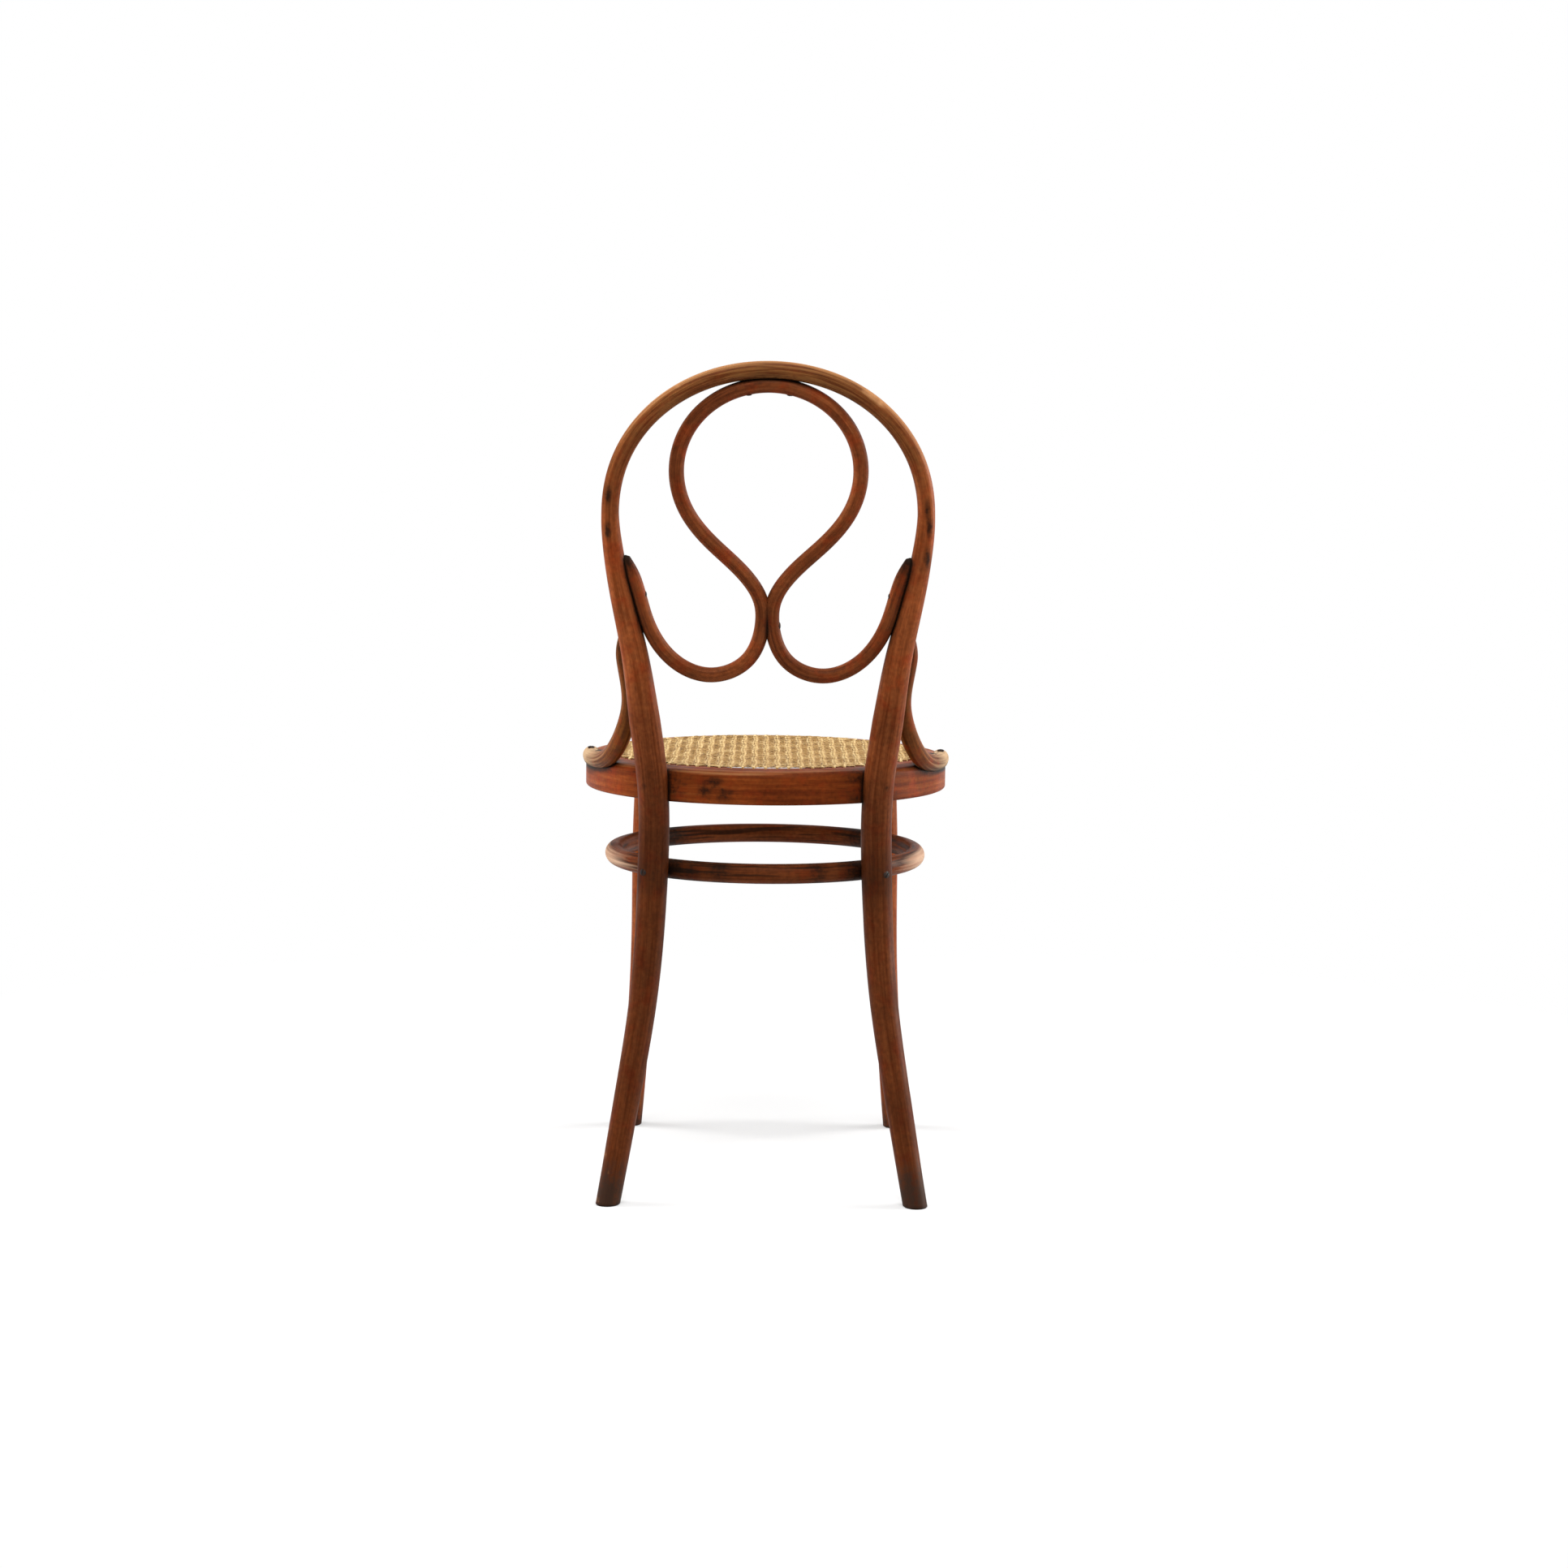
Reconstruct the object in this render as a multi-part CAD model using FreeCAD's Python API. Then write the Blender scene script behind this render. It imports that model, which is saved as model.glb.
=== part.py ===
import FreeCAD, Part
import math
import os

# Bentwood chair with a round caned seat, in millimetres.
# +Z is up, +Y is the way the sitter faces and +X is the sitter's right hand.
# The model is worked out about the axis of the round seat and moved at the end,
# so that its origin is on the floor under the middle of the whole chair.

# Seat ring, one strip bent to a circle
SEAT_RADIUS = 205.0
SEAT_HEIGHT = 470.0
SEAT_THICKNESS = 37.5
RIM_WIDTH = 31.0
RIM_FALL = 1.5
RIM_TOP_ROUND = 8.0
RIM_EDGE_BEVEL = 2.5
RIM_ROUND_ANGLES = (0.0, 45.0, 90.0)

# Caning holes round the inner edge of the seat ring
CANING_HOLES = 88
CANING_HOLE_DIAMETER = 4.6
CANING_HOLE_INSET = 5.0
CANING_HOLE_SIDES = 5

# Cane seat, a net of square gaps; those that reach near its edge are cut round or left out
CANE_THICKNESS = 2.0
CANE_OVERLAP = 9.0
CANE_PITCH = 33.0
CANE_BAND = 10.0
WHOLE_GAP_SHARE = 0.8
CUT_GAP_SHARE = 0.25

# Leg ring, one rod bent to a circle inside the four legs
LEG_RING_RADIUS = 171.9
LEG_RING_DIAMETER = 22.0
LEG_RING_HEIGHT = 353.5

# Back frame: both back legs and the bow, bent from one tapered rod
BACK_LEG_DIAMETER = 34.0
BACK_LEG_SPACING = 245.5
BACK_FOOT_DIAMETER = 26.5
BACK_FOOT_SPACING = 333.4
BACK_FOOT_REACH = 237.0
BACK_LEAN = 12.3
BACK_RISE = 456.4
BOW_DIAMETER = 18.8
BOW_HALF_WIDTH = 166.9
BOW_RISE = 153.8
BOW_FULLNESS = 2.05
BOW_ANGLES = (0.0, 22.5, 45.0, 67.5, 90.0)
TAPER_START = 52.0
SEAT_HOUSING = 8.0
LEG_RING_HOUSING = 2.0

# Shares of the height and of the spread that the back legs and uprights pass through
LEG_FLARE = ((0.385, 0.20), (0.685, 0.565))
UPRIGHT_SWEEP = ((0.25, 0.20), (0.50, 0.445), (0.73, 0.777), (0.87, 0.935))

# Back insert: one rod bent into a loop and two lobes
INSERT_DIAMETER = 16.2
INSERT_BOW_SEAT = 1.6
LOOP_HALF_WIDTH = 97.0
LOOP_TOP_RISE = 91.5
WAIST_OFFSET = 5.4
WAIST_GAP = 0.3
LOBE_RADIUS = 55.4
LOBE_RISE = 180.2
LOBE_ANGLES = (-48.0, -90.0, -135.0, -180.0)
LOOP_ANGLES = (0.0, 30.0, 60.0, 90.0)
INSERT_END_LOW = 187.0
INSERT_END_TOP = 256.0
INSERT_END_DIAMETER = 9.0
INSERT_END_SEAT = 1.2
INSERT_MIDDLE_SEAT = 2.4
INSERT_END_TAPER = 30.0

# Shares of the height and of the width that the loop narrows through, to its waist
LOOP_SWEEP = ((0.246, 0.896), (0.46, 0.60), (0.693, 0.17), (0.848, 0.013))

# Front legs, each with a round tenon in the seat ring
FRONT_LEG_DIAMETER = 30.0
FRONT_FOOT_DIAMETER = 26.5
FRONT_LEG_ANGLE = 43.3
FRONT_FOOT_REACH = 219.0
FRONT_FLARE = ((0.38, 0.12), (0.70, 0.50))
TENON_DIAMETER = 18.0
TENON_LENGTH = 24.0
TENON_INSET = 13.5

# Hip braces, bent rods from the uprights to the seat ring
BRACE_DIAMETER = 20.0
BRACE_TIP_DIAMETER = 7.0
BRACE_TIP_RISE = 148.6
BRACE_FULL_RISE = 116.6
BRACE_LEAVE_RISE = 75.0
BRACE_SIDE_ANGLE = 32.0
BRACE_SEAT = 2.0
BRACE_KNEE_OUT = 7.0
BRACE_KNEE_FORWARD = 19.0
BRACE_KNEE_DROP = 35.0
BRACE_LANDING_ANGLE = 35.0
BRACE_LANDING_OUT = 3.5
BRACE_LANDING_RISE = 7.5
BRACE_FOOT_ANGLE = 17.5
BRACE_END_ANGLE = -1.5
BRACE_FOOT_INSET = 5.5
BRACE_FOOT_SINK = 4.5
BRACE_NOSE = 6.0

# Seat bolts through the back legs, with washers and nuts inside the seat ring
BOLT_DIAMETER = 6.0
BOLT_HEAD_DIAMETER = 12.0
BOLT_HEAD_HEIGHT = 3.0
BOLT_HEAD_RECESS = 3.5
BOLT_END_LENGTH = 2.5
WASHER_DIAMETER = 16.0
WASHER_THICKNESS = 1.2
NUT_WIDTH = 10.0
NUT_THICKNESS = 5.0
SPOTFACE_DEPTH = 0.8

# Wood screws
SCREW_DIAMETER = 4.0
SCREW_HEAD_DIAMETER = 8.0
SCREW_HEAD_HEIGHT = 2.2
SCREW_HEAD_RECESS = 1.8
SCREW_BITE = 10.0
HEAD_TOP_SHARE = 0.6
HEAD_CLEARANCE = 0.4
SEAT_SCREW_ANGLES = (5.5, 19.5)
SEAT_SCREW_LENGTH = 34.0
TOP_SCREW_OFFSET = 22.0
END_SCREW_RISE = 213.0
BRACE_SCREW_RISE = 101.0

# How finely bent rods are drawn: flats round them, and how far their straight steps may stray
LEG_SIDES = 20
ROD_SIDES = 14
SCREW_SIDES = 10
ROD_STEP_SAG = 0.55
ROD_STEP_LENGTH = 90.0
RING_STEPS = 36

# How closely curves are followed when places on them are worked out
CURVE_SAMPLES = 400
CURVE_TOLERANCE = 1e-9

Vector = FreeCAD.Vector
UP = Vector(0, 0, 1)
CENTRE = Vector(0, 0, 0)

LEG_R = BACK_LEG_DIAMETER / 2
FRONT_LEG_R = FRONT_LEG_DIAMETER / 2
BOW_R = BOW_DIAMETER / 2
INSERT_R = INSERT_DIAMETER / 2
BRACE_R = BRACE_DIAMETER / 2
LEG_RING_R = LEG_RING_DIAMETER / 2
SEAT_UNDERSIDE = SEAT_HEIGHT - SEAT_THICKNESS
SEAT_MIDDLE = SEAT_HEIGHT - SEAT_THICKNESS / 2
SEAT_INNER_RADIUS = SEAT_RADIUS - RIM_WIDTH
LEAN = math.radians(BACK_LEAN)
LEAN_UP = Vector(0, -math.sin(LEAN), math.cos(LEAN))


def behind(reach, across):
    """Point behind the seat's axis, at a distance from it and a distance to the side."""
    return Vector(across, -math.sqrt(reach ** 2 - across ** 2), 0)


def at_angle(reach, degrees):
    """Point at a distance from the seat's axis, turned from +X towards +Y."""
    angle = math.radians(degrees)
    return Vector(reach * math.cos(angle), reach * math.sin(angle), 0)


# Where the back legs meet the seat ring and the leg ring
SEAT_JOINT_REACH = SEAT_RADIUS + LEG_R - SEAT_HOUSING
SEAT_JOINT = behind(SEAT_JOINT_REACH, BACK_LEG_SPACING / 2) + UP * SEAT_MIDDLE
RING_JOINT_REACH = LEG_RING_RADIUS + LEG_RING_R + LEG_R - LEG_RING_HOUSING
RING_JOINT = behind(RING_JOINT_REACH, BACK_LEG_SPACING / 2) + UP * LEG_RING_HEIGHT

# Where the front legs meet them
TENON_REACH = SEAT_RADIUS - TENON_INSET
FRONT_RING_REACH = LEG_RING_RADIUS + LEG_RING_R + FRONT_LEG_R - LEG_RING_HOUSING


def on_back(across, rise):
    """Point in the leaning plane of the back, a rise above the seat joint."""
    return Vector(across, SEAT_JOINT.y, SEAT_JOINT.z) + LEAN_UP * rise


BOW_WIDEST_RISE = BACK_RISE - BOW_RISE
CROWN = on_back(0, BACK_RISE)
ORIGIN_SHIFT = -(SEAT_RADIUS + CROWN.y - BOW_R) / 2


def blend(stops, value):
    """Straight-line size between stops of (position, size), held beyond both ends."""
    if value <= stops[0][0]:
        return stops[0][1]
    for (low, low_size), (high, high_size) in zip(stops, stops[1:]):
        if value <= high:
            return low_size + (high_size - low_size) * (value - low) / (high - low)
    return stops[-1][1]


def smooth_curve(points):
    """Smooth curve through points."""
    curve = Part.BSplineCurve()
    curve.interpolate(Points=points)
    return curve


def with_other_half(points):
    """Points of one side and, in reverse order, of the other; the last lies between them."""
    return points + [Vector(-p.x, p.y, p.z) for p in reversed(points[:-1])]


def stations(curve, length, marks):
    """Distances along a curve, every mark among them, so that straight steps stay close to it."""
    step = length / CURVE_SAMPLES
    measure = [0.0]
    before = curve.tangent(curve.FirstParameter)[0]
    for i in range(1, CURVE_SAMPLES + 1):
        parameter = curve.parameterAtDistance(step * i, curve.FirstParameter)
        tangent = curve.tangent(parameter)[0]
        bend = math.sqrt(before.getAngle(tangent) * step / (8 * ROD_STEP_SAG))
        measure.append(measure[-1] + max(bend, step / ROD_STEP_LENGTH))
        before = tangent
    distances = [0.0]
    for mark in list(marks) + [length]:
        low = blend([(step * i, m) for i, m in enumerate(measure)], distances[-1])
        high = blend([(step * i, m) for i, m in enumerate(measure)], mark)
        count = max(1, math.ceil(high - low))
        for i in range(1, count + 1):
            share = low + (high - low) * i / count
            distances.append(blend([(m, step * k) for k, m in enumerate(measure)], share))
    return distances


def ring_of_sides(radius, sides):
    """Corners of a closed outline of equal sides round the Z axis, as large as its circle."""
    reach = radius / math.sqrt(math.cos(math.pi / sides))
    return [at_angle(reach, 360 * (i + 0.5) / sides) for i in range(sides + 1)]


def section(centre, tangent, reference, radius, sides):
    """Outline square to a rod, its corners counted from the side that reference gives."""
    turn = FreeCAD.Rotation(reference, CENTRE, tangent, "ZXY")
    place = FreeCAD.Placement(centre, turn)
    return Part.makePolygon([place.multVec(corner) for corner in ring_of_sides(radius, sides)])


def bent_rod(curve, length, radius_at, reference, sides, marks=(), level=()):
    """Round rod along a length of a curve; level names the ends that are cut level."""
    sections = []
    distances = stations(curve, length, marks)
    for i, distance in enumerate(distances):
        parameter = curve.parameterAtDistance(distance, curve.FirstParameter)
        centre = curve.value(parameter)
        tangent = curve.tangent(parameter)[0]
        if (i == 0 and "start" in level) or (i == len(distances) - 1 and "end" in level):
            tangent = UP
        sections.append(section(centre, tangent, reference, radius_at(distance, centre), sides))
    return Part.makeLoft(sections, True, True)


def mirrored(shape):
    """The same piece on the other side of the chair."""
    return shape.mirror(CENTRE, Vector(1, 0, 0))


def placed(shape, point, direction):
    """Shape built along +Z, set at a point and turned to a direction."""
    shape.Placement = FreeCAD.Placement(point, FreeCAD.Rotation(UP, direction))
    return shape


def turned(outline):
    """Solid of revolution about the Z axis, from corners of (radius, height)."""
    corners = [Vector(radius, 0, height) for radius, height in outline]
    return Part.Face(Part.makePolygon(corners + corners[:1])).revolve(CENTRE, UP, 360)


def tapered_pin(low_radius, high_radius, low, high, sides):
    """Straight pin on the Z axis from one height to another, drawn with flat sides."""
    ends = []
    for radius, height in ((low_radius, low), (high_radius, high)):
        ends.append([corner + UP * height for corner in ring_of_sides(radius, sides)])
    outlines = [ends[0][::-1], ends[1]]
    for i in range(sides):
        outlines.append([ends[0][i], ends[0][i + 1], ends[1][i + 1], ends[1][i], ends[0][i]])
    shell = Part.makeShell([Part.Face(Part.makePolygon(outline)) for outline in outlines])
    shell.sewShape()
    return Part.makeSolid(shell)


class Fastener:
    """Screw or bolt that sits on a point, its head outside and its shank along a direction."""

    def __init__(self, seat, direction, length, diameter, head_diameter, head_height):
        head_r = head_diameter / 2
        shank_r = diameter / 2
        head = tapered_pin(head_r * HEAD_TOP_SHARE, head_r, -head_height, 0.0, SCREW_SIDES)
        shank = tapered_pin(shank_r, shank_r, 0.0, length, SCREW_SIDES)
        self.solid = placed(head.fuse(shank), seat, direction)
        self.seat = seat
        self.direction = direction
        self.recess_radius = head_r + HEAD_CLEARANCE

    def bore(self, piece, holds_head=False):
        """Cut the fastener's hole in a piece, and its head's recess where it holds the head."""
        piece = piece.cut(self.solid)
        if holds_head:
            reach = BACK_LEG_DIAMETER
            recess = tapered_pin(self.recess_radius, self.recess_radius, 0.0, reach, SCREW_SIDES)
            piece = piece.cut(placed(recess, self.seat, self.direction * -1))
        return piece


def wood_screw(seat, direction, length):
    """Wood screw with a low coned head."""
    return Fastener(seat, direction, length, SCREW_DIAMETER, SCREW_HEAD_DIAMETER, SCREW_HEAD_HEIGHT)


def both_sides(fasteners):
    """One group of like fasteners and their copies on the other side."""
    solids = [fastener.solid for fastener in fasteners]
    return Part.makeCompound(solids + [mirrored(solid) for solid in solids])


def bow_points():
    """Quarter of a slightly filled-out ellipse, from the widest point of the bow to its crown."""
    power = 2 / BOW_FULLNESS
    points = []
    for degrees in BOW_ANGLES:
        angle = math.radians(degrees)
        across = BOW_HALF_WIDTH * math.cos(angle) ** power
        points.append(on_back(across, BOW_WIDEST_RISE + BOW_RISE * math.sin(angle) ** power))
    return points


def back_curve():
    """Centre line of the back frame, from the right foot over the bow to the left foot."""
    foot = Vector(BACK_FOOT_SPACING / 2, -BACK_FOOT_REACH, 0)
    flare = []
    for down, side in reversed(LEG_FLARE):
        point = RING_JOINT + (foot - RING_JOINT) * side
        point.z = RING_JOINT.z * (1 - down)
        flare.append(point)
    sweep = []
    for up, side in UPRIGHT_SWEEP:
        across = SEAT_JOINT.x + (BOW_HALF_WIDTH - SEAT_JOINT.x) * side
        sweep.append(on_back(across, BOW_WIDEST_RISE * up))
    half = [foot] + flare + [RING_JOINT, SEAT_JOINT] + sweep + bow_points()
    return smooth_curve(with_other_half(half))


BACK_CURVE = back_curve()
BACK_RADII = (
    (0.0, BACK_FOOT_DIAMETER / 2),
    (LEG_RING_HEIGHT, LEG_R),
    (SEAT_HEIGHT + TAPER_START, LEG_R),
    (on_back(0, BOW_WIDEST_RISE).z, BOW_R),
)


def upright_at(height):
    """Centre and radius of the right upright at a height."""
    low = BACK_CURVE.FirstParameter
    high = (BACK_CURVE.FirstParameter + BACK_CURVE.LastParameter) / 2
    while high - low > CURVE_TOLERANCE:
        middle = (low + high) / 2
        if BACK_CURVE.value(middle).z < height:
            low = middle
        else:
            high = middle
    return BACK_CURVE.value(low), blend(BACK_RADII, height)


def back_frame_rod():
    """Whole back frame before its housings are cut."""
    def radius_at(distance, centre):
        return blend(BACK_RADII, centre.z)
    length = BACK_CURVE.length() / 2
    half = bent_rod(BACK_CURVE, length, radius_at, Vector(0, 1, 0), LEG_SIDES, level=("start",))
    return half.fuse(mirrored(half))


def insert_end_point(rise, radius, seat):
    """Centre of the insert's end where it lies against the inner side of the upright."""
    centre, upright_radius = upright_at(on_back(0, rise).z)
    return centre - Vector(upright_radius + radius - seat, 0, 0)


INSERT_CROWN_RISE = BACK_RISE - BOW_R - INSERT_R + INSERT_BOW_SEAT


def insert_curve():
    """Centre line of the insert, from its right end over the loop to its left end."""
    end_r = INSERT_END_DIAMETER / 2
    middle_rise = (INSERT_END_LOW + INSERT_END_TOP) / 2
    points = [
        insert_end_point(INSERT_END_TOP, end_r, end_r),
        insert_end_point(middle_rise, INSERT_R, INSERT_MIDDLE_SEAT),
        insert_end_point(INSERT_END_LOW, INSERT_R, INSERT_END_SEAT),
    ]
    for degrees in LOBE_ANGLES:
        angle = math.radians(degrees)
        across = WAIST_OFFSET + LOBE_RADIUS + LOBE_RADIUS * math.cos(angle)
        points.append(on_back(across, LOBE_RISE + LOBE_RADIUS * math.sin(angle)))
    widest_rise = INSERT_CROWN_RISE - LOOP_TOP_RISE
    for down, side in reversed(LOOP_SWEEP):
        across = WAIST_OFFSET + (LOOP_HALF_WIDTH - WAIST_OFFSET) * side
        points.append(on_back(across, widest_rise - (widest_rise - LOBE_RISE) * down))
    for degrees in LOOP_ANGLES:
        angle = math.radians(degrees)
        across = LOOP_HALF_WIDTH * math.cos(angle)
        points.append(on_back(across, widest_rise + LOOP_TOP_RISE * math.sin(angle)))
    return smooth_curve(with_other_half(points))


def back_insert_rod(frame_rod):
    """Whole insert, its strands flattened at the waist and its ends and top seated."""
    curve = insert_curve()
    end_r = INSERT_END_DIAMETER / 2

    def radius_at(distance, centre):
        share = min(distance / INSERT_END_TAPER, 1.0)
        return end_r + (INSERT_R - end_r) * math.sin(share * math.pi / 2)
    marks = (INSERT_END_TAPER / 3, INSERT_END_TAPER)
    half = bent_rod(curve, curve.length() / 2, radius_at, Vector(0, 1, 0), ROD_SIDES, marks=marks)
    wide = 2 * INSERT_DIAMETER
    corner = on_back(WAIST_GAP / 2 - wide, LOBE_RISE) - Vector(0, wide, 2 * LOBE_RADIUS)
    half = half.cut(Part.makeBox(wide, 2 * wide, 4 * LOBE_RADIUS, corner))
    half = half.cut(frame_rod)
    return half.fuse(mirrored(half))


def seat_ring_blank():
    """Bent seat ring before any hole is made in it."""
    outer_top = SEAT_HEIGHT - RIM_FALL
    outline = [
        (SEAT_INNER_RADIUS, SEAT_UNDERSIDE),
        (SEAT_RADIUS - RIM_EDGE_BEVEL, SEAT_UNDERSIDE),
        (SEAT_RADIUS, SEAT_UNDERSIDE + RIM_EDGE_BEVEL),
    ]
    for degrees in RIM_ROUND_ANGLES:
        angle = math.radians(degrees)
        out = SEAT_RADIUS - RIM_TOP_ROUND * (1 - math.cos(angle))
        outline.append((out, outer_top - RIM_TOP_ROUND * (1 - math.sin(angle))))
    outline.append((SEAT_RADIUS - RIM_WIDTH / 2, SEAT_HEIGHT))
    outline.append((SEAT_INNER_RADIUS + RIM_EDGE_BEVEL, SEAT_HEIGHT))
    outline.append((SEAT_INNER_RADIUS, SEAT_HEIGHT - RIM_EDGE_BEVEL))
    return turned(outline)


def caning_holes():
    """Upright holes that the cane is strung through."""
    reach = SEAT_INNER_RADIUS + CANING_HOLE_INSET
    radius = CANING_HOLE_DIAMETER / 2
    holes = []
    for i in range(CANING_HOLES):
        centre = at_angle(reach, 90 + 360 * i / CANING_HOLES) + UP * (SEAT_UNDERSIDE - radius)
        corners = [centre + corner for corner in ring_of_sides(radius, CANING_HOLE_SIDES)]
        hole = Part.Face(Part.makePolygon(corners)).extrude(UP * (SEAT_THICKNESS + 2 * radius))
        holes.append(hole)
    return Part.makeCompound(holes)


def seat_cane():
    """Cane seat as one thin holed face, laid on the inner edge of the seat ring."""
    open_radius = SEAT_INNER_RADIUS - CANE_BAND / 2
    open_disc = Part.Face(Part.Wire([Part.makeCircle(open_radius)]))
    gap_side = CANE_PITCH - CANE_BAND
    count = math.ceil(open_radius / CANE_PITCH)
    gaps = []
    for i in range(-count, count):
        for j in range(-count, count):
            x = (i + 0.5) * CANE_PITCH
            y = (j + 0.5) * CANE_PITCH
            gap = Part.makePlane(gap_side, gap_side, Vector(x - gap_side / 2, y - gap_side / 2, 0))
            reach = math.hypot(x, y)
            if reach < open_radius - gap_side * WHOLE_GAP_SHARE:
                gaps.append(gap)
            elif reach < open_radius - gap_side * CUT_GAP_SHARE:
                gaps.append(gap.common(open_disc))
    sheet = Part.Face(Part.Wire([Part.makeCircle(SEAT_INNER_RADIUS + CANE_OVERLAP)]))
    net = sheet.cut(Part.makeCompound(gaps)).Faces[0]
    net.translate(UP * SEAT_HEIGHT)
    return net.extrude(UP * CANE_THICKNESS)


def leg_ring_blank():
    """Bent leg ring before its screw holes are made."""
    sections = []
    half_turn = RING_STEPS // 2
    for i in range(half_turn + 1):
        angle = 180 * i / half_turn - 90
        centre = at_angle(LEG_RING_RADIUS, angle) + UP * LEG_RING_HEIGHT
        sections.append(section(centre, at_angle(1, angle + 90), UP, LEG_RING_R, ROD_SIDES))
    half = Part.makeLoft(sections, True, True)
    return half.fuse(mirrored(half))


def front_leg_blank():
    """Right front leg with its tenon, before the leg ring's housing is cut."""
    top = at_angle(TENON_REACH, FRONT_LEG_ANGLE) + UP * SEAT_UNDERSIDE
    points = [at_angle(FRONT_FOOT_REACH, FRONT_LEG_ANGLE)]
    for down, side in reversed(FRONT_FLARE):
        reach = FRONT_RING_REACH + (FRONT_FOOT_REACH - FRONT_RING_REACH) * side
        points.append(at_angle(reach, FRONT_LEG_ANGLE) + UP * (LEG_RING_HEIGHT * (1 - down)))
    points.append(at_angle(FRONT_RING_REACH, FRONT_LEG_ANGLE) + UP * LEG_RING_HEIGHT)
    points.append(top)
    curve = smooth_curve(points)
    radii = ((0.0, FRONT_FOOT_DIAMETER / 2), (LEG_RING_HEIGHT, FRONT_LEG_R))

    def radius_at(distance, centre):
        return blend(radii, centre.z)
    leg = bent_rod(curve, curve.length(), radius_at, Vector(1, 0, 0), LEG_SIDES, level=("start", "end"))
    tenon = tapered_pin(TENON_DIAMETER / 2, TENON_DIAMETER / 2, 0.0, TENON_LENGTH, LEG_SIDES)
    return leg.fuse(tenon.translated(top))


BRACE_SIDE = at_angle(1, 90 - BRACE_SIDE_ANGLE)


def brace_beside(rise, radius):
    """Centre of the brace where it lies against the upright, a rise above the seat."""
    centre, upright_radius = upright_at(SEAT_HEIGHT + rise)
    return centre + BRACE_SIDE * (upright_radius + radius - BRACE_SEAT)


def hip_brace_rod():
    """Right brace before it is seated on the upright and the seat ring."""
    leaving = brace_beside(BRACE_LEAVE_RISE, BRACE_R)
    knee = leaving + Vector(BRACE_KNEE_OUT, BRACE_KNEE_FORWARD, -BRACE_KNEE_DROP)
    landing = at_angle(SEAT_RADIUS + BRACE_LANDING_OUT, -BRACE_LANDING_ANGLE)
    landing.z = SEAT_HEIGHT + BRACE_LANDING_RISE
    foot_height = UP * (SEAT_HEIGHT - BRACE_FOOT_SINK)
    foot_reach = SEAT_RADIUS - BRACE_FOOT_INSET
    curve = smooth_curve([
        brace_beside(BRACE_TIP_RISE, BRACE_TIP_DIAMETER / 2),
        brace_beside(BRACE_FULL_RISE, BRACE_R),
        leaving,
        knee,
        landing,
        at_angle(foot_reach, -BRACE_FOOT_ANGLE) + foot_height,
        at_angle(foot_reach, -BRACE_END_ANGLE) + foot_height,
    ])
    length = curve.length()
    taper = BRACE_TIP_RISE - BRACE_FULL_RISE
    radii = (
        (0.0, BRACE_TIP_DIAMETER / 2),
        (taper, BRACE_R),
        (length - BRACE_NOSE, BRACE_R),
        (length, BRACE_R - BRACE_NOSE / 2),
    )

    def radius_at(distance, centre):
        return blend(radii, distance)
    marks = (taper, length - BRACE_NOSE)
    return bent_rod(curve, length, radius_at, Vector(1, 0, 0), ROD_SIDES, marks=marks)


def seat_bolt():
    """Right seat bolt with its washer, nut and spotface, which face the seat's axis."""
    outward = Vector(SEAT_JOINT.x, SEAT_JOINT.y, 0).normalize()
    inward = outward * -1
    head_reach = SEAT_JOINT_REACH + LEG_R - BOLT_HEAD_RECESS
    face_reach = SEAT_INNER_RADIUS + SPOTFACE_DEPTH
    length = head_reach - face_reach + WASHER_THICKNESS + NUT_THICKNESS + BOLT_END_LENGTH
    seat = outward * head_reach + UP * SEAT_MIDDLE
    bolt = Fastener(seat, inward, length, BOLT_DIAMETER, BOLT_HEAD_DIAMETER, BOLT_HEAD_HEIGHT)
    face = outward * face_reach + UP * SEAT_MIDDLE
    washer_r = WASHER_DIAMETER / 2
    washer = tapered_pin(washer_r, washer_r, 0.0, WASHER_THICKNESS, SCREW_SIDES)
    corners = [at_angle(NUT_WIDTH / math.sqrt(3), 60 * i) for i in range(7)]
    nut = Part.Face(Part.makePolygon(corners)).extrude(UP * NUT_THICKNESS)
    hole = tapered_pin(BOLT_DIAMETER / 2, BOLT_DIAMETER / 2, 0.0, NUT_THICKNESS, SCREW_SIDES)
    washer = washer.cut(hole)
    nut = nut.cut(hole)
    face_r = washer_r + HEAD_CLEARANCE
    spotface = tapered_pin(face_r, face_r, 0.0, RIM_WIDTH / 2, SCREW_SIDES)
    washer = placed(washer, face, inward)
    nut = placed(nut, face + inward * WASHER_THICKNESS, inward)
    return bolt, washer, nut, placed(spotface, face, inward)


def leg_ring_screw(direction, joint_reach, leg_radius):
    """Screw from the outside of a leg into the leg ring, on the joint's side of the chair."""
    outward = Vector(direction.x, direction.y, 0).normalize()
    head_reach = joint_reach + leg_radius - SCREW_HEAD_RECESS
    seat = outward * head_reach + UP * LEG_RING_HEIGHT
    return wood_screw(seat, outward * -1, head_reach - LEG_RING_RADIUS + LEG_RING_R / 2)


def insert_top_screw():
    """Screw up through the top of the insert into the bow."""
    angle = math.acos(TOP_SCREW_OFFSET / LOOP_HALF_WIDTH)
    drop = LOOP_TOP_RISE * (1 - math.sin(angle))
    seat = on_back(TOP_SCREW_OFFSET, INSERT_CROWN_RISE - drop - INSERT_R + SCREW_HEAD_RECESS)
    return wood_screw(seat, LEAN_UP, INSERT_DIAMETER + SCREW_BITE)


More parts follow.
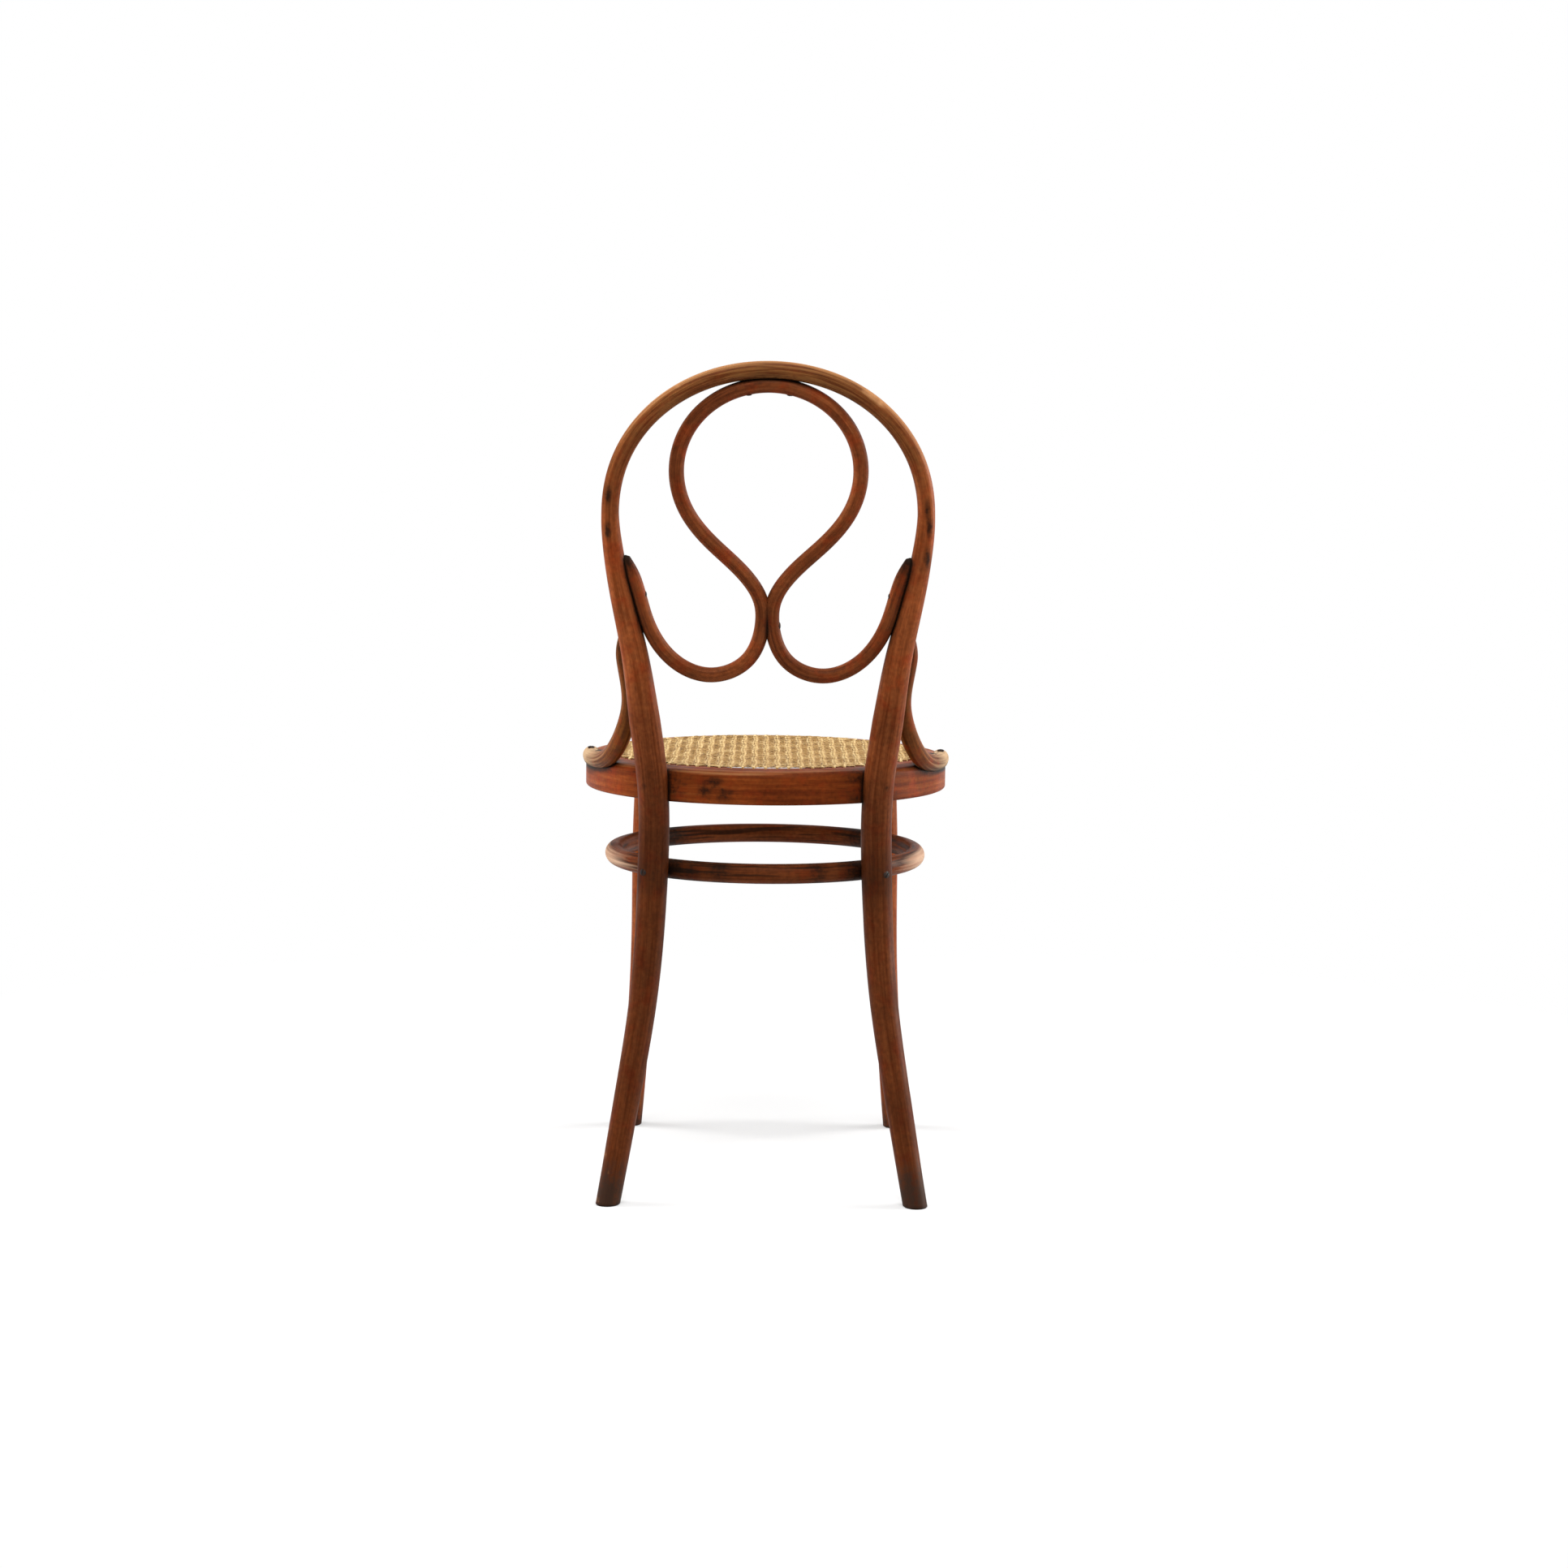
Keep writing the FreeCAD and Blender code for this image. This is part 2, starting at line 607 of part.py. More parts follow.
def insert_end_screw():
    """Screw from the inner side of the insert's end into the upright."""
    centre, upright_radius = upright_at(on_back(0, END_SCREW_RISE).z)
    across = upright_radius + INSERT_DIAMETER - 2 * INSERT_END_SEAT - SCREW_HEAD_RECESS
    seat = centre - Vector(across, 0, 0)
    return wood_screw(seat, Vector(1, 0, 0), INSERT_DIAMETER - SCREW_HEAD_RECESS + SCREW_BITE)


def insert_middle_screw():
    """Screw across the waist of the insert, through one strand into the other."""
    across = WAIST_OFFSET + INSERT_R - SCREW_HEAD_RECESS
    seat = on_back(across, LOBE_RISE)
    return wood_screw(seat, Vector(-1, 0, 0), across + WAIST_OFFSET)


def brace_seat_screw(degrees):
    """Screw down through the foot of the brace into the seat ring."""
    top = SEAT_HEIGHT - BRACE_FOOT_SINK + BRACE_R - SCREW_HEAD_RECESS
    seat = at_angle(SEAT_RADIUS - BRACE_FOOT_INSET, -degrees) + UP * top
    return wood_screw(seat, UP * -1, SEAT_SCREW_LENGTH)


def brace_upright_screw():
    """Screw through the top of the brace into the upright."""
    centre, upright_radius = upright_at(SEAT_HEIGHT + BRACE_SCREW_RISE)
    out = upright_radius - BRACE_SEAT + BRACE_DIAMETER - SCREW_HEAD_RECESS
    return wood_screw(centre + BRACE_SIDE * out, BRACE_SIDE * -1, BRACE_DIAMETER + SCREW_BITE)


def bored(piece, fasteners, holds_head=False):
    """Cut the holes of several fasteners in one piece."""
    for fastener in fasteners:
        piece = fastener.bore(piece, holds_head)
    return piece


def on_both_sides(piece, cut):
    """Make one cut in a piece on the right, and the same cut on the left."""
    return mirrored(cut(mirrored(cut(piece))))


def export(name, shape):
    """Write a finished piece in the chair's own frame and report its solids."""
    shape = shape.translated(Vector(0, ORIGIN_SHIFT, 0))
    shape.exportStep("parts/" + name + ".step")
    print(name, len(shape.Solids), "valid" if shape.isValid() else "NOT VALID", round(shape.Volume))


def main():
    """Build every piece, cut what it holds or seats on, and write it."""
    os.makedirs("parts", exist_ok=True)
    ring_blank = seat_ring_blank()
    leg_ring = leg_ring_blank()
    frame_rod = back_frame_rod()
    bolt, washer, nut, spotface = seat_bolt()
    back_screw = leg_ring_screw(RING_JOINT, RING_JOINT_REACH, LEG_R)
    front_screw = leg_ring_screw(at_angle(1, FRONT_LEG_ANGLE), FRONT_RING_REACH, FRONT_LEG_R)
    top_screw = insert_top_screw()
    end_screw = insert_end_screw()
    middle_screw = insert_middle_screw()
    seat_screws = [brace_seat_screw(degrees) for degrees in SEAT_SCREW_ANGLES]
    upright_screw = brace_upright_screw()

    def cut_frame(frame):
        frame = bored(frame, [bolt, back_screw], holds_head=True)
        return bored(frame, [top_screw, end_screw, upright_screw])

    def cut_insert(insert):
        return bored(insert, [top_screw, end_screw], holds_head=True)

    front_leg = front_leg_blank()

    def cut_seat_ring(ring):
        return bored(ring.cut(spotface).cut(front_leg), [bolt] + seat_screws)

    def cut_leg_ring(ring):
        return bored(ring, [back_screw, front_screw])

    export("back_frame", on_both_sides(frame_rod.cut(ring_blank).cut(leg_ring), cut_frame))
    insert = on_both_sides(back_insert_rod(frame_rod), cut_insert)
    export("back_insert", middle_screw.bore(insert, holds_head=True))
    export("seat_ring", on_both_sides(ring_blank.cut(caning_holes()), cut_seat_ring))
    export("seat_cane", seat_cane())
    export("leg_ring", on_both_sides(leg_ring, cut_leg_ring))
    leg = front_screw.bore(front_leg.cut(leg_ring), holds_head=True)
    brace = hip_brace_rod().cut(frame_rod).cut(ring_blank)
    brace = bored(brace, seat_screws + [upright_screw], holds_head=True)
    export("front_leg_right", leg)
    export("front_leg_left", mirrored(leg))
    export("hip_brace_right", brace)
    export("hip_brace_left", mirrored(brace))
    export("seat_bolts", both_sides([bolt]))
    export("seat_bolt_washers", Part.makeCompound([washer, mirrored(washer)]))
    export("seat_bolt_nuts", Part.makeCompound([nut, mirrored(nut)]))
    export("leg_ring_screws", both_sides([back_screw, front_screw]))
    export("insert_top_screws", both_sides([top_screw]))
    export("insert_end_screws", both_sides([end_screw]))
    export("insert_middle_screw", middle_screw.solid)
    export("brace_seat_screws", both_sides(seat_screws))
    export("brace_upright_screws", both_sides([upright_screw]))


main()
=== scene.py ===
import logging
import math
from dataclasses import dataclass, field
from enum import Enum
from typing import Sequence

import bmesh
import bpy
import numpy as np
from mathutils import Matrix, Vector
from mathutils.bvhtree import BVHTree


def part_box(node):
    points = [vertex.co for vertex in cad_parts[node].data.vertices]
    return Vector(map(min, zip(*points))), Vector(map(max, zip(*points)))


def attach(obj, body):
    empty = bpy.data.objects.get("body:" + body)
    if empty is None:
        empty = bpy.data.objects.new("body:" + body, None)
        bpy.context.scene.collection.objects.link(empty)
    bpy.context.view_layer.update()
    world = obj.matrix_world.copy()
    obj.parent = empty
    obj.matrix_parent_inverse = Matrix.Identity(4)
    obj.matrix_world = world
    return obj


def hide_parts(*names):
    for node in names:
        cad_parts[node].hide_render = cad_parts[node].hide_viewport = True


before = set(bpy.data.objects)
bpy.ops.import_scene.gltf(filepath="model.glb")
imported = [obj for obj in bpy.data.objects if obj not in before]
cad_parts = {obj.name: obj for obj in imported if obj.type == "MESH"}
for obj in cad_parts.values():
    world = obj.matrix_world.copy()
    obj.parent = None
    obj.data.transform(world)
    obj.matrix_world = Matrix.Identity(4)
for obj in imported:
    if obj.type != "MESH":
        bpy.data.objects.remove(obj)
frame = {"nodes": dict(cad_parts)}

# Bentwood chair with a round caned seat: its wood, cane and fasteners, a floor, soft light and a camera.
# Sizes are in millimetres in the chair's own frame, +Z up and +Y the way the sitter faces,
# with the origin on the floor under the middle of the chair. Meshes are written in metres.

Array = np.ndarray
Material = bpy.types.Material
Mesh = bpy.types.Mesh
Node = bpy.types.Node
Piece = bpy.types.Object
Socket = bpy.types.NodeSocket
Tree = bpy.types.NodeTree
Pairs = tuple[tuple[float, float], ...]
Span = tuple[float, float, float, float]

LOG = logging.getLogger("bentwood_chair")
MM = 0.001
BODY = "root"
WHITE = (1.0, 1.0, 1.0, 1.0)
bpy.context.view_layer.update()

# The middle of the round seat lies this far in front of the origin.
SEAT_AXIS_Y = sum(corner.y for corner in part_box("seat_ring")) / 2 / MM


class Lay(Enum):
    """How a swept section is turned about its path."""

    ROUND = "MINIMUM_TWIST"
    FLAT = "Z_UP"


class Slot(Enum):
    """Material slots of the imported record."""

    WOOD = "wood"
    CANE = "cane"
    STEEL = "steel"


def linear(colour: str) -> tuple[float, float, float, float]:
    """Turn an sRGB hex colour to linear.

    Args:
        colour: Six hex digits after a hash mark.

    Returns:
        Linear red, green, blue and an alpha of 1.
    """
    channels = []
    for i in (1, 3, 5):
        value = int(colour[i:i + 2], 16) / 255
        channels.append(value / 12.92 if value <= 0.04045 else ((value + 0.055) / 1.055) ** 2.4)
    return (*channels, 1.0)


def feed(node: Node, inputs: dict[str | int, object]) -> None:
    """Link or set inputs of a node.

    Args:
        node: Node of any tree.
        inputs: Value, or output socket to link, for each named or numbered input.
    """
    for key, value in inputs.items():
        if isinstance(value, Socket):
            node.id_data.links.new(value, node.inputs[key])
        else:
            node.inputs[key].default_value = value


def add(tree: Tree, kind: str, inputs: dict[str | int, object] | None = None,
        stops: Sequence[tuple[float, str]] = (), **settings: object) -> Node:
    """Add a node with its settings, values and links.

    Args:
        tree: Tree that the node goes into.
        kind: Type name of the node.
        inputs: Value, or output socket to link, for each named or numbered input.
        stops: Positions and sRGB colours of a colour ramp.
        settings: Properties of the node.

    Returns:
        The new node.
    """
    node = tree.nodes.new(kind)
    for name, value in settings.items():
        setattr(node, name, value)
    feed(node, inputs or {})
    for i, (position, colour) in enumerate(stops):
        elements = node.color_ramp.elements
        element = elements[i] if i < 2 else elements.new(position)
        element.position = position
        element.color = linear(colour)
    return node


def bare_material(name: str) -> tuple[Material, Tree, Node]:
    """Start a material.

    Args:
        name: Name of the material.

    Returns:
        The material, its node tree and its shader.
    """
    material = bpy.data.materials.new(name)
    material.use_nodes = True
    return material, material.node_tree, material.node_tree.nodes["Principled BSDF"]


def link_object(name: str, data: bpy.types.ID) -> Piece:
    """Put a mesh, lamp or camera in the scene as an object at the origin.

    Args:
        name: Name of the object.
        data: Mesh, lamp or camera that the object holds.

    Returns:
        The object.
    """
    piece = bpy.data.objects.new(name, data)
    bpy.context.scene.collection.objects.link(piece)
    return piece


def carry(piece: Piece, slot: Slot, *nodes: str) -> Piece:
    """Make a finished piece ride on the chair, in place of the nodes that it stands for.

    Args:
        piece: Finished object, at the origin.
        slot: Material slot of the imported record that the piece stands for; not used.
        nodes: Names of the nodes that it replaces.

    Returns:
        The same object.
    """
    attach(piece, BODY)
    if nodes:
        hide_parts(*nodes)
    LOG.info("%s: %d faces, in place of %s", piece.name, len(piece.data.polygons), ", ".join(nodes))
    return piece


def smooth_path(waypoints: Sequence[Sequence[float]], step: float, fineness: int = 64) -> Array:
    """Points at even steps along the smooth curve through waypoints.

    Args:
        waypoints: Points that the curve passes through, in mm.
        step: Distance between points, in mm.
        fineness: How many short lines stand for each stretch of the curve before it is stepped off.

    Returns:
        Array of points, in mm.
    """
    knots = np.asarray(waypoints, float)
    spans = np.linalg.norm(np.diff(knots, axis=0), axis=1)
    slopes = np.diff(knots, axis=0) / spans[:, None]
    count = len(knots)
    matrix = np.zeros((count, count))
    right = np.zeros((count, 3))
    matrix[0, 0] = matrix[-1, -1] = 1
    right[0] = slopes[0] + (slopes[0] - slopes[1]) * spans[0] / (spans[0] + spans[1])
    right[-1] = slopes[-1] + (slopes[-1] - slopes[-2]) * spans[-1] / (spans[-1] + spans[-2])
    for i in range(1, count - 1):
        matrix[i, i - 1:i + 2] = spans[i], 2 * (spans[i - 1] + spans[i]), spans[i - 1]
        right[i] = 3 * (spans[i] * slopes[i - 1] + spans[i - 1] * slopes[i])
    tangents = np.linalg.solve(matrix, right)
    share = np.linspace(0, 1, fineness + 1)[:-1, None]
    fine = []
    for i, span in enumerate(spans):
        fine.append(
            (1 + 2 * share) * (1 - share) ** 2 * knots[i]
            + share ** 2 * (3 - 2 * share) * knots[i + 1]
            + share * (1 - share) ** 2 * span * tangents[i]
            - share ** 2 * (1 - share) * span * tangents[i + 1]
        )
    line = np.concatenate(fine + [knots[-1:]])
    along = lengths_along(line)
    wanted = np.linspace(0, along[-1], max(2, round(along[-1] / step) + 1))
    return np.stack([np.interp(wanted, along, line[:, axis]) for axis in range(3)], axis=1)


def lengths_along(line: Array) -> Array:
    """Distance of each point along its line, in mm."""
    return np.concatenate([[0.0], np.cumsum(np.linalg.norm(np.diff(line, axis=0), axis=1))])


def polar(reach: float, degrees: float, height: float = 0.0) -> Array:
    """Point at a distance from the seat's axis, turned from +X towards +Y."""
    angle = math.radians(degrees)
    return np.array([reach * math.cos(angle), SEAT_AXIS_Y + reach * math.sin(angle), height])


def eased(share: Array) -> Array:
    """Ease shares from 0 to 1 in and out."""
    return share * share * (3 - 2 * share)


def near(places: Array, spots: Sequence[Sequence[float]], reach: float) -> Array:
    """How close points are to given spots: 1 at a spot, falling to 0 at a reach from it.

    Args:
        places: Points, in mm.
        spots: Middle of each spot, in mm.
        reach: Distance at which nothing is left, in mm.

    Returns:
        One value from 0 to 1 for each point.
    """
    value = np.zeros(len(places))
    for spot in spots:
        gap = np.linalg.norm(places - np.asarray(spot, float), axis=1)
        value = np.maximum(value, np.clip(1 - gap / reach, 0, 1))
    return eased(value)


def seen_near(places: Array, spots: Pairs, reach: float, squash: float = 1.0) -> Array:
    """How close points are to spots as seen from behind.

    Args:
        places: Points, in mm.
        spots: Distance from the middle and height of each spot, in mm.
        reach: Distance at which nothing is left, in mm.
        squash: Scale of heights, below 1 for spots that run up and down.

    Returns:
        One value from 0 to 1 for each point.
    """
    return near(places * (1, 0, squash), [(across, 0, height * squash) for across, height in spots], reach)


@dataclass
class Run:
    """One stretch of rod or cane: its centre line and what its finish reads along it."""

    line: Array
    radii: Array
    closed: bool = False
    marks: dict[str, Array] = field(default_factory=dict)


def guide_mesh(name: str, runs: Sequence[Run]) -> Mesh:
    """Mesh of bare edges along the runs, with their values on its points.

    Args:
        name: Name of the mesh.
        runs: Stretches to draw, all with marks of the same names.

    Returns:
        The mesh, in metres.
    """
    points, edges, start = [], [], 0
    values: dict[str, list[Array]] = {"thick": [], "along": []}
    for run in runs:
        count = len(run.line)
        points.append(run.line * MM)
        edges += [(start + i, start + i + 1) for i in range(count - 1)]
        if run.closed:
            edges.append((start + count - 1, start))
        values["thick"].append(run.radii * MM)
        values["along"].append(lengths_along(run.line) * MM)
        for key, mark in run.marks.items():
            values.setdefault(key, []).append(mark)
        start += count
    mesh = bpy.data.meshes.new(name)
    mesh.from_pydata(np.concatenate(points).tolist(), edges, [])
    for key, parts in values.items():
        attribute = mesh.attributes.new(key, "FLOAT", "POINT")
        attribute.data.foreach_set("value", np.concatenate(parts).astype(np.float32))
    return mesh


def shape_tree(name: str, sizes: dict[str, str]) -> tuple[Tree, bpy.types.bpy_prop_collection]:
    """Start a node tree that makes a shape from guide edges or points.

    Args:
        name: Name of the tree.
        sizes: Kind of number of each named size.

    Returns:
        Tree with the inputs Geometry, the sizes and Material, and the sockets that give them.
    """
    tree = bpy.data.node_groups.new(name, "GeometryNodeTree")
    for label, kind in {"Geometry": "Geometry", **sizes, "Material": "Material"}.items():
        tree.interface.new_socket(label, in_out="INPUT", socket_type="NodeSocket" + kind)
    tree.interface.new_socket("Geometry", in_out="OUTPUT", socket_type="NodeSocketGeometry")
    return tree, add(tree, "NodeGroupInput").outputs


def sweep_tree(lay: Lay) -> Tree:
    """Node tree that sweeps a round or flattened section along guide edges.

    Args:
        lay: How the section is turned about its path.

    Returns:
        Tree with the inputs Sides, Width, Height and Material; sizes are shares of the guide's
        attribute thick.
    """
    sizes = {"Sides": "Int", "Width": "Float", "Height": "Float"}
    tree, given = shape_tree("sweep_" + lay.name.lower(), sizes)
    thick, along, across = (
        add(tree, "GeometryNodeInputNamedAttribute", {"Name": name}, data_type=kind).outputs[0]
        for name, kind in (("thick", "FLOAT"), ("along", "FLOAT"), ("across", "FLOAT_VECTOR"))
    )
    curve = add(tree, "GeometryNodeMeshToCurve", {"Mesh": given["Geometry"]}).outputs[0]
    curve = add(tree, "GeometryNodeSetCurveNormal", {"Curve": curve}, mode=lay.value).outputs[0]
    circle = add(tree, "GeometryNodeCurvePrimitiveCircle", {"Resolution": given["Sides"], "Radius": 1.0})
    size = add(tree, "ShaderNodeCombineXYZ", {"X": given["Width"], "Y": given["Height"], "Z": 1.0}).outputs[0]
    section = add(tree, "GeometryNodeTransform", {"Geometry": circle.outputs[0], "Scale": size}).outputs[0]
    position = add(tree, "GeometryNodeInputPosition").outputs[0]
    section = add(tree, "GeometryNodeStoreNamedAttribute",
                  {"Geometry": section, "Name": "across", "Value": position},
                  data_type="FLOAT_VECTOR", domain="POINT").outputs[0]
    swept = add(tree, "GeometryNodeCurveToMesh",
                {"Curve": curve, "Profile Curve": section, "Scale": thick, "Fill Caps": True}).outputs[0]

    # The place that each point had in the straight rod, for the grain
    wide, high = (add(tree, "ShaderNodeMath", {0: part, 1: thick}, operation="MULTIPLY").outputs[0]
                  for part in add(tree, "ShaderNodeSeparateXYZ", {0: across}).outputs[:2])
    unbent = add(tree, "ShaderNodeCombineXYZ", {"X": wide, "Y": high, "Z": along}).outputs[0]
    swept = add(tree, "GeometryNodeStoreNamedAttribute",
                {"Geometry": swept, "Name": "unbent", "Value": unbent},
                data_type="FLOAT_VECTOR", domain="CORNER").outputs[0]
    swept = add(tree, "GeometryNodeSetShadeSmooth", {"Geometry": swept}).outputs[0]
    swept = add(tree, "GeometryNodeRealizeInstances", {"Geometry": swept}).outputs[0]
    swept = add(tree, "GeometryNodeSetMaterial", {"Geometry": swept, "Material": given["Material"]})
    add(tree, "NodeGroupOutput", {0: swept.outputs[0]})
    return tree


def grown(piece: Piece, tree: Tree, values: dict[str, object]) -> Piece:
    """Run a node tree on an object and keep its result as a plain mesh.

    Args:
        piece: Object that the tree starts from.
        tree: Geometry node tree.
        values: Value of each named input.

    Returns:
        The same object with the new mesh and no modifier.
    """
    modifier = piece.modifiers.new(tree.name, "NODES")
    modifier.node_group = tree
    for item in tree.interface.items_tree:
        if item.in_out == "INPUT" and item.name in values:
            modifier[item.identifier] = values[item.name]
    graph = bpy.context.evaluated_depsgraph_get()
    whole = piece.evaluated_get(graph)
    mesh = bpy.data.meshes.new_from_object(whole, preserve_all_data_layers=True, depsgraph=graph)
    piece.modifiers.remove(modifier)
    guide = piece.data
    piece.data = mesh
    bpy.data.meshes.remove(guide)
    mesh.name = piece.name
    return piece


def rod(name: str, sweep: Tree, finish: "StainedBeech", run: Run, sides: int,
        foot_round: float | None = None) -> Piece:
    """Sweep a round rod along one run and cut its feet level with the floor.

    Args:
        name: Name of the piece.
        sweep: Tree that sweeps a round section along guide edges.
        finish: Finish of the wood.
        run: Centre line, radii and marks of the rod.
        sides: Number of sides of the section.
        foot_round: How far a foot's edge is turned in, in mm, or None for a rod without feet.

    Returns:
        The rod, at the origin.
    """
    piece = link_object(name, guide_mesh(name, [run]))
    grown(piece, sweep, {"Sides": sides, "Width": 1.0, "Height": 1.0, "Material": finish.material()})
    if foot_round is not None:
        cut_level(piece.data, foot_round)
    sharpen(piece.data)
    return piece


def sharpen(mesh: Mesh, degrees: float = 40.0) -> None:
    """Shade a mesh smooth apart from edges that turn more than an angle."""
    mesh.polygons.foreach_set("use_smooth", [True] * len(mesh.polygons))
    mesh.set_sharp_from_angle(angle=math.radians(degrees))


def read_points(mesh: Mesh) -> Array:
    """Read the places of a mesh's vertices.

    Args:
        mesh: Mesh in metres.

    Returns:
        One point for each vertex, in mm.
    """
    places = np.zeros(len(mesh.vertices) * 3)
    mesh.vertices.foreach_get("co", places)
    return places.reshape(-1, 3) / MM


def facing(mesh: Mesh, toward: Array, low: float, high: float) -> Array:
    """How far each vertex faces a direction.

    Args:
        mesh: Mesh to look at.
        toward: One direction, or one for each vertex.
        low: Cosine of the angle at which the value is 0.
        high: Cosine of the angle at which the value is 1.

    Returns:
        One value from 0 to 1 for each vertex.
    """
    normals = np.zeros(len(mesh.vertices) * 3)
    mesh.vertex_normals.foreach_get("vector", normals)
    length = np.linalg.norm(toward, axis=-1, keepdims=True)
    cosine = (normals.reshape(-1, 3) * toward / length).sum(axis=1)
    return np.clip((cosine - low) / (high - low), 0, 1)


def read_mark(mesh: Mesh, name: str) -> Array:
    """Read a mark.

    Args:
        mesh: Mesh that may have the mark.
        name: Name of the mark.

    Returns:
        One value for each vertex, 0 where the mesh has no such mark.
    """
    values = np.zeros(len(mesh.vertices), np.float32)
    if name in mesh.attributes:
        mesh.attributes[name].data.foreach_get("value", values)
    return values


def write_mark(mesh: Mesh, name: str, values: Array) -> None:
    """Store a mark on a mesh's vertices."""
    mark = mesh.attributes.get(name) or mesh.attributes.new(name, "FLOAT", "POINT")
    mark.data.foreach_set("value", values.astype(np.float32))


def deepen(mesh: Mesh, name: str, values: Array) -> None:
    """Raise a mark on a mesh's vertices where other values are higher."""
    write_mark(mesh, name, np.maximum(read_mark(mesh, name), values))


def closed_shape(mesh: Mesh, shape: bmesh.types.BMesh) -> None:
    """Turn the faces of a closed shape outward and store it in a mesh.

    Args:
        mesh: Mesh that takes the shape.
        shape: Closed shape, which is used up.
    """
    bmesh.ops.recalc_face_normals(shape, faces=shape.faces[:])
    shape.to_mesh(mesh)
    shape.free()


def settle_grime_and_shade(pieces: Sequence[Piece], contact_shade: float = 4.0, spread: float = 13.0, wet: float = 2.5,
                 depth: float = 0.7) -> None:
    """Mark painted shade, with old polish and dust, on each piece where it comes close to the others or the
    floor.

    Args:
        pieces: Wooden pieces that touch each other.
        contact_shade: Gap at which the painted black shadow line ends, in mm.
        spread: Gap at which the grime and painted shade round a joint end, in mm.
        wet: Height at which the painted shadow line on a foot ends, in mm.
        depth: Most grime and painted shade round a joint.
    """
    shells = {}
    for piece in pieces:
        faces = [tuple(face.vertices) for face in piece.data.polygons]
        shells[piece.name] = ([vertex.co.copy() for vertex in piece.data.vertices], faces)
    for piece in pieces:
        corners, faces = [], []
        for name, (points, polygons) in shells.items():
            if name != piece.name:
                faces += [tuple(i + len(corners) for i in polygon) for polygon in polygons]
                corners += points
        others = BVHTree.FromPolygons(corners, faces)
        reach = spread * MM
        gaps = [others.find_nearest(point, reach)[3] for point in shells[piece.name][0]]
        gap = np.array([spread if found is None else found / MM for found in gaps])
        foot = read_points(piece.data)[:, 2]
        # A painted black shadow line where parts touch and where a foot meets the floor, and grime with
        # painted shade round each joint
        line = np.maximum(np.clip(1 - gap / contact_shade, 0, 1), np.clip(1 - foot / wet, 0, 1))
        deepen(piece.data, "contact_shade", line)
        deepen(piece.data, "grime_and_shade", np.clip(1 - gap / spread, 0, 1) * depth)


def cut_level(mesh: Mesh, round_off: float, nearly: float = 1e-7, merged: float = 0.02) -> None:
    """Cut legs level with the floor and turn the cut's edge in a little.

    Args:
        mesh: Mesh of one or more legs that reach below the floor.
        round_off: How far the edge is turned in, in mm.
        nearly: Height in metres up to which a point counts as on the floor.
        merged: Distance below which the cut's points are made one, in mm.
    """
    shape = bmesh.new()
    shape.from_mesh(mesh)
    for level in (round_off, 0.0):
        everything = shape.verts[:] + shape.edges[:] + shape.faces[:]
        bmesh.ops.bisect_plane(shape, geom=everything, plane_co=(0, 0, level * MM), plane_no=(0, 0, 1),
                               clear_inner=level == 0.0)
    low = [vertex for vertex in shape.verts if abs(vertex.co.z) < nearly]
    bmesh.ops.remove_doubles(shape, verts=low, dist=merged * MM)
    rim = [edge for edge in shape.edges if all(abs(vertex.co.z) < nearly for vertex in edge.verts)]
    bmesh.ops.holes_fill(shape, edges=rim, sides=0)
    for face in shape.faces:
        if all(abs(vertex.co.z) < nearly for vertex in face.verts):
            middle = face.calc_center_median()
            for vertex in face.verts:
                inward = middle - vertex.co
                inward.z = 0.0
                vertex.co += inward.normalized() * round_off * MM
                vertex.co.z = 0.0
    closed_shape(mesh, shape)


@dataclass(frozen=True)
class Pattern:
    """Uneven pattern: the real width and length of its patches in mm, and how fine it breaks up."""

    width: float
    length: float
    detail: float = 3.0
    roughness: float = 0.5

    def drawn(self, tree: Tree, where: Socket, start: Sequence[float]) -> Socket:
        """Draw the pattern.

        Args:
            tree: Tree of the material.
            where: Place on the piece, its last axis along the streaks.
            start: Where in the pattern the piece begins.

        Returns:
            Value from 0 to 1, mostly near a half.
        """
        scale = (1 / (self.width * MM), 1 / (self.width * MM), 1 / (self.length * MM))
        vector = add(tree, "ShaderNodeMapping", {"Vector": where, "Location": start, "Scale": scale})
        return add(tree, "ShaderNodeTexNoise",
                   {"Vector": vector.outputs[0], "Scale": 1.0, "Detail": self.detail,
                    "Roughness": self.roughness}).outputs["Fac"]


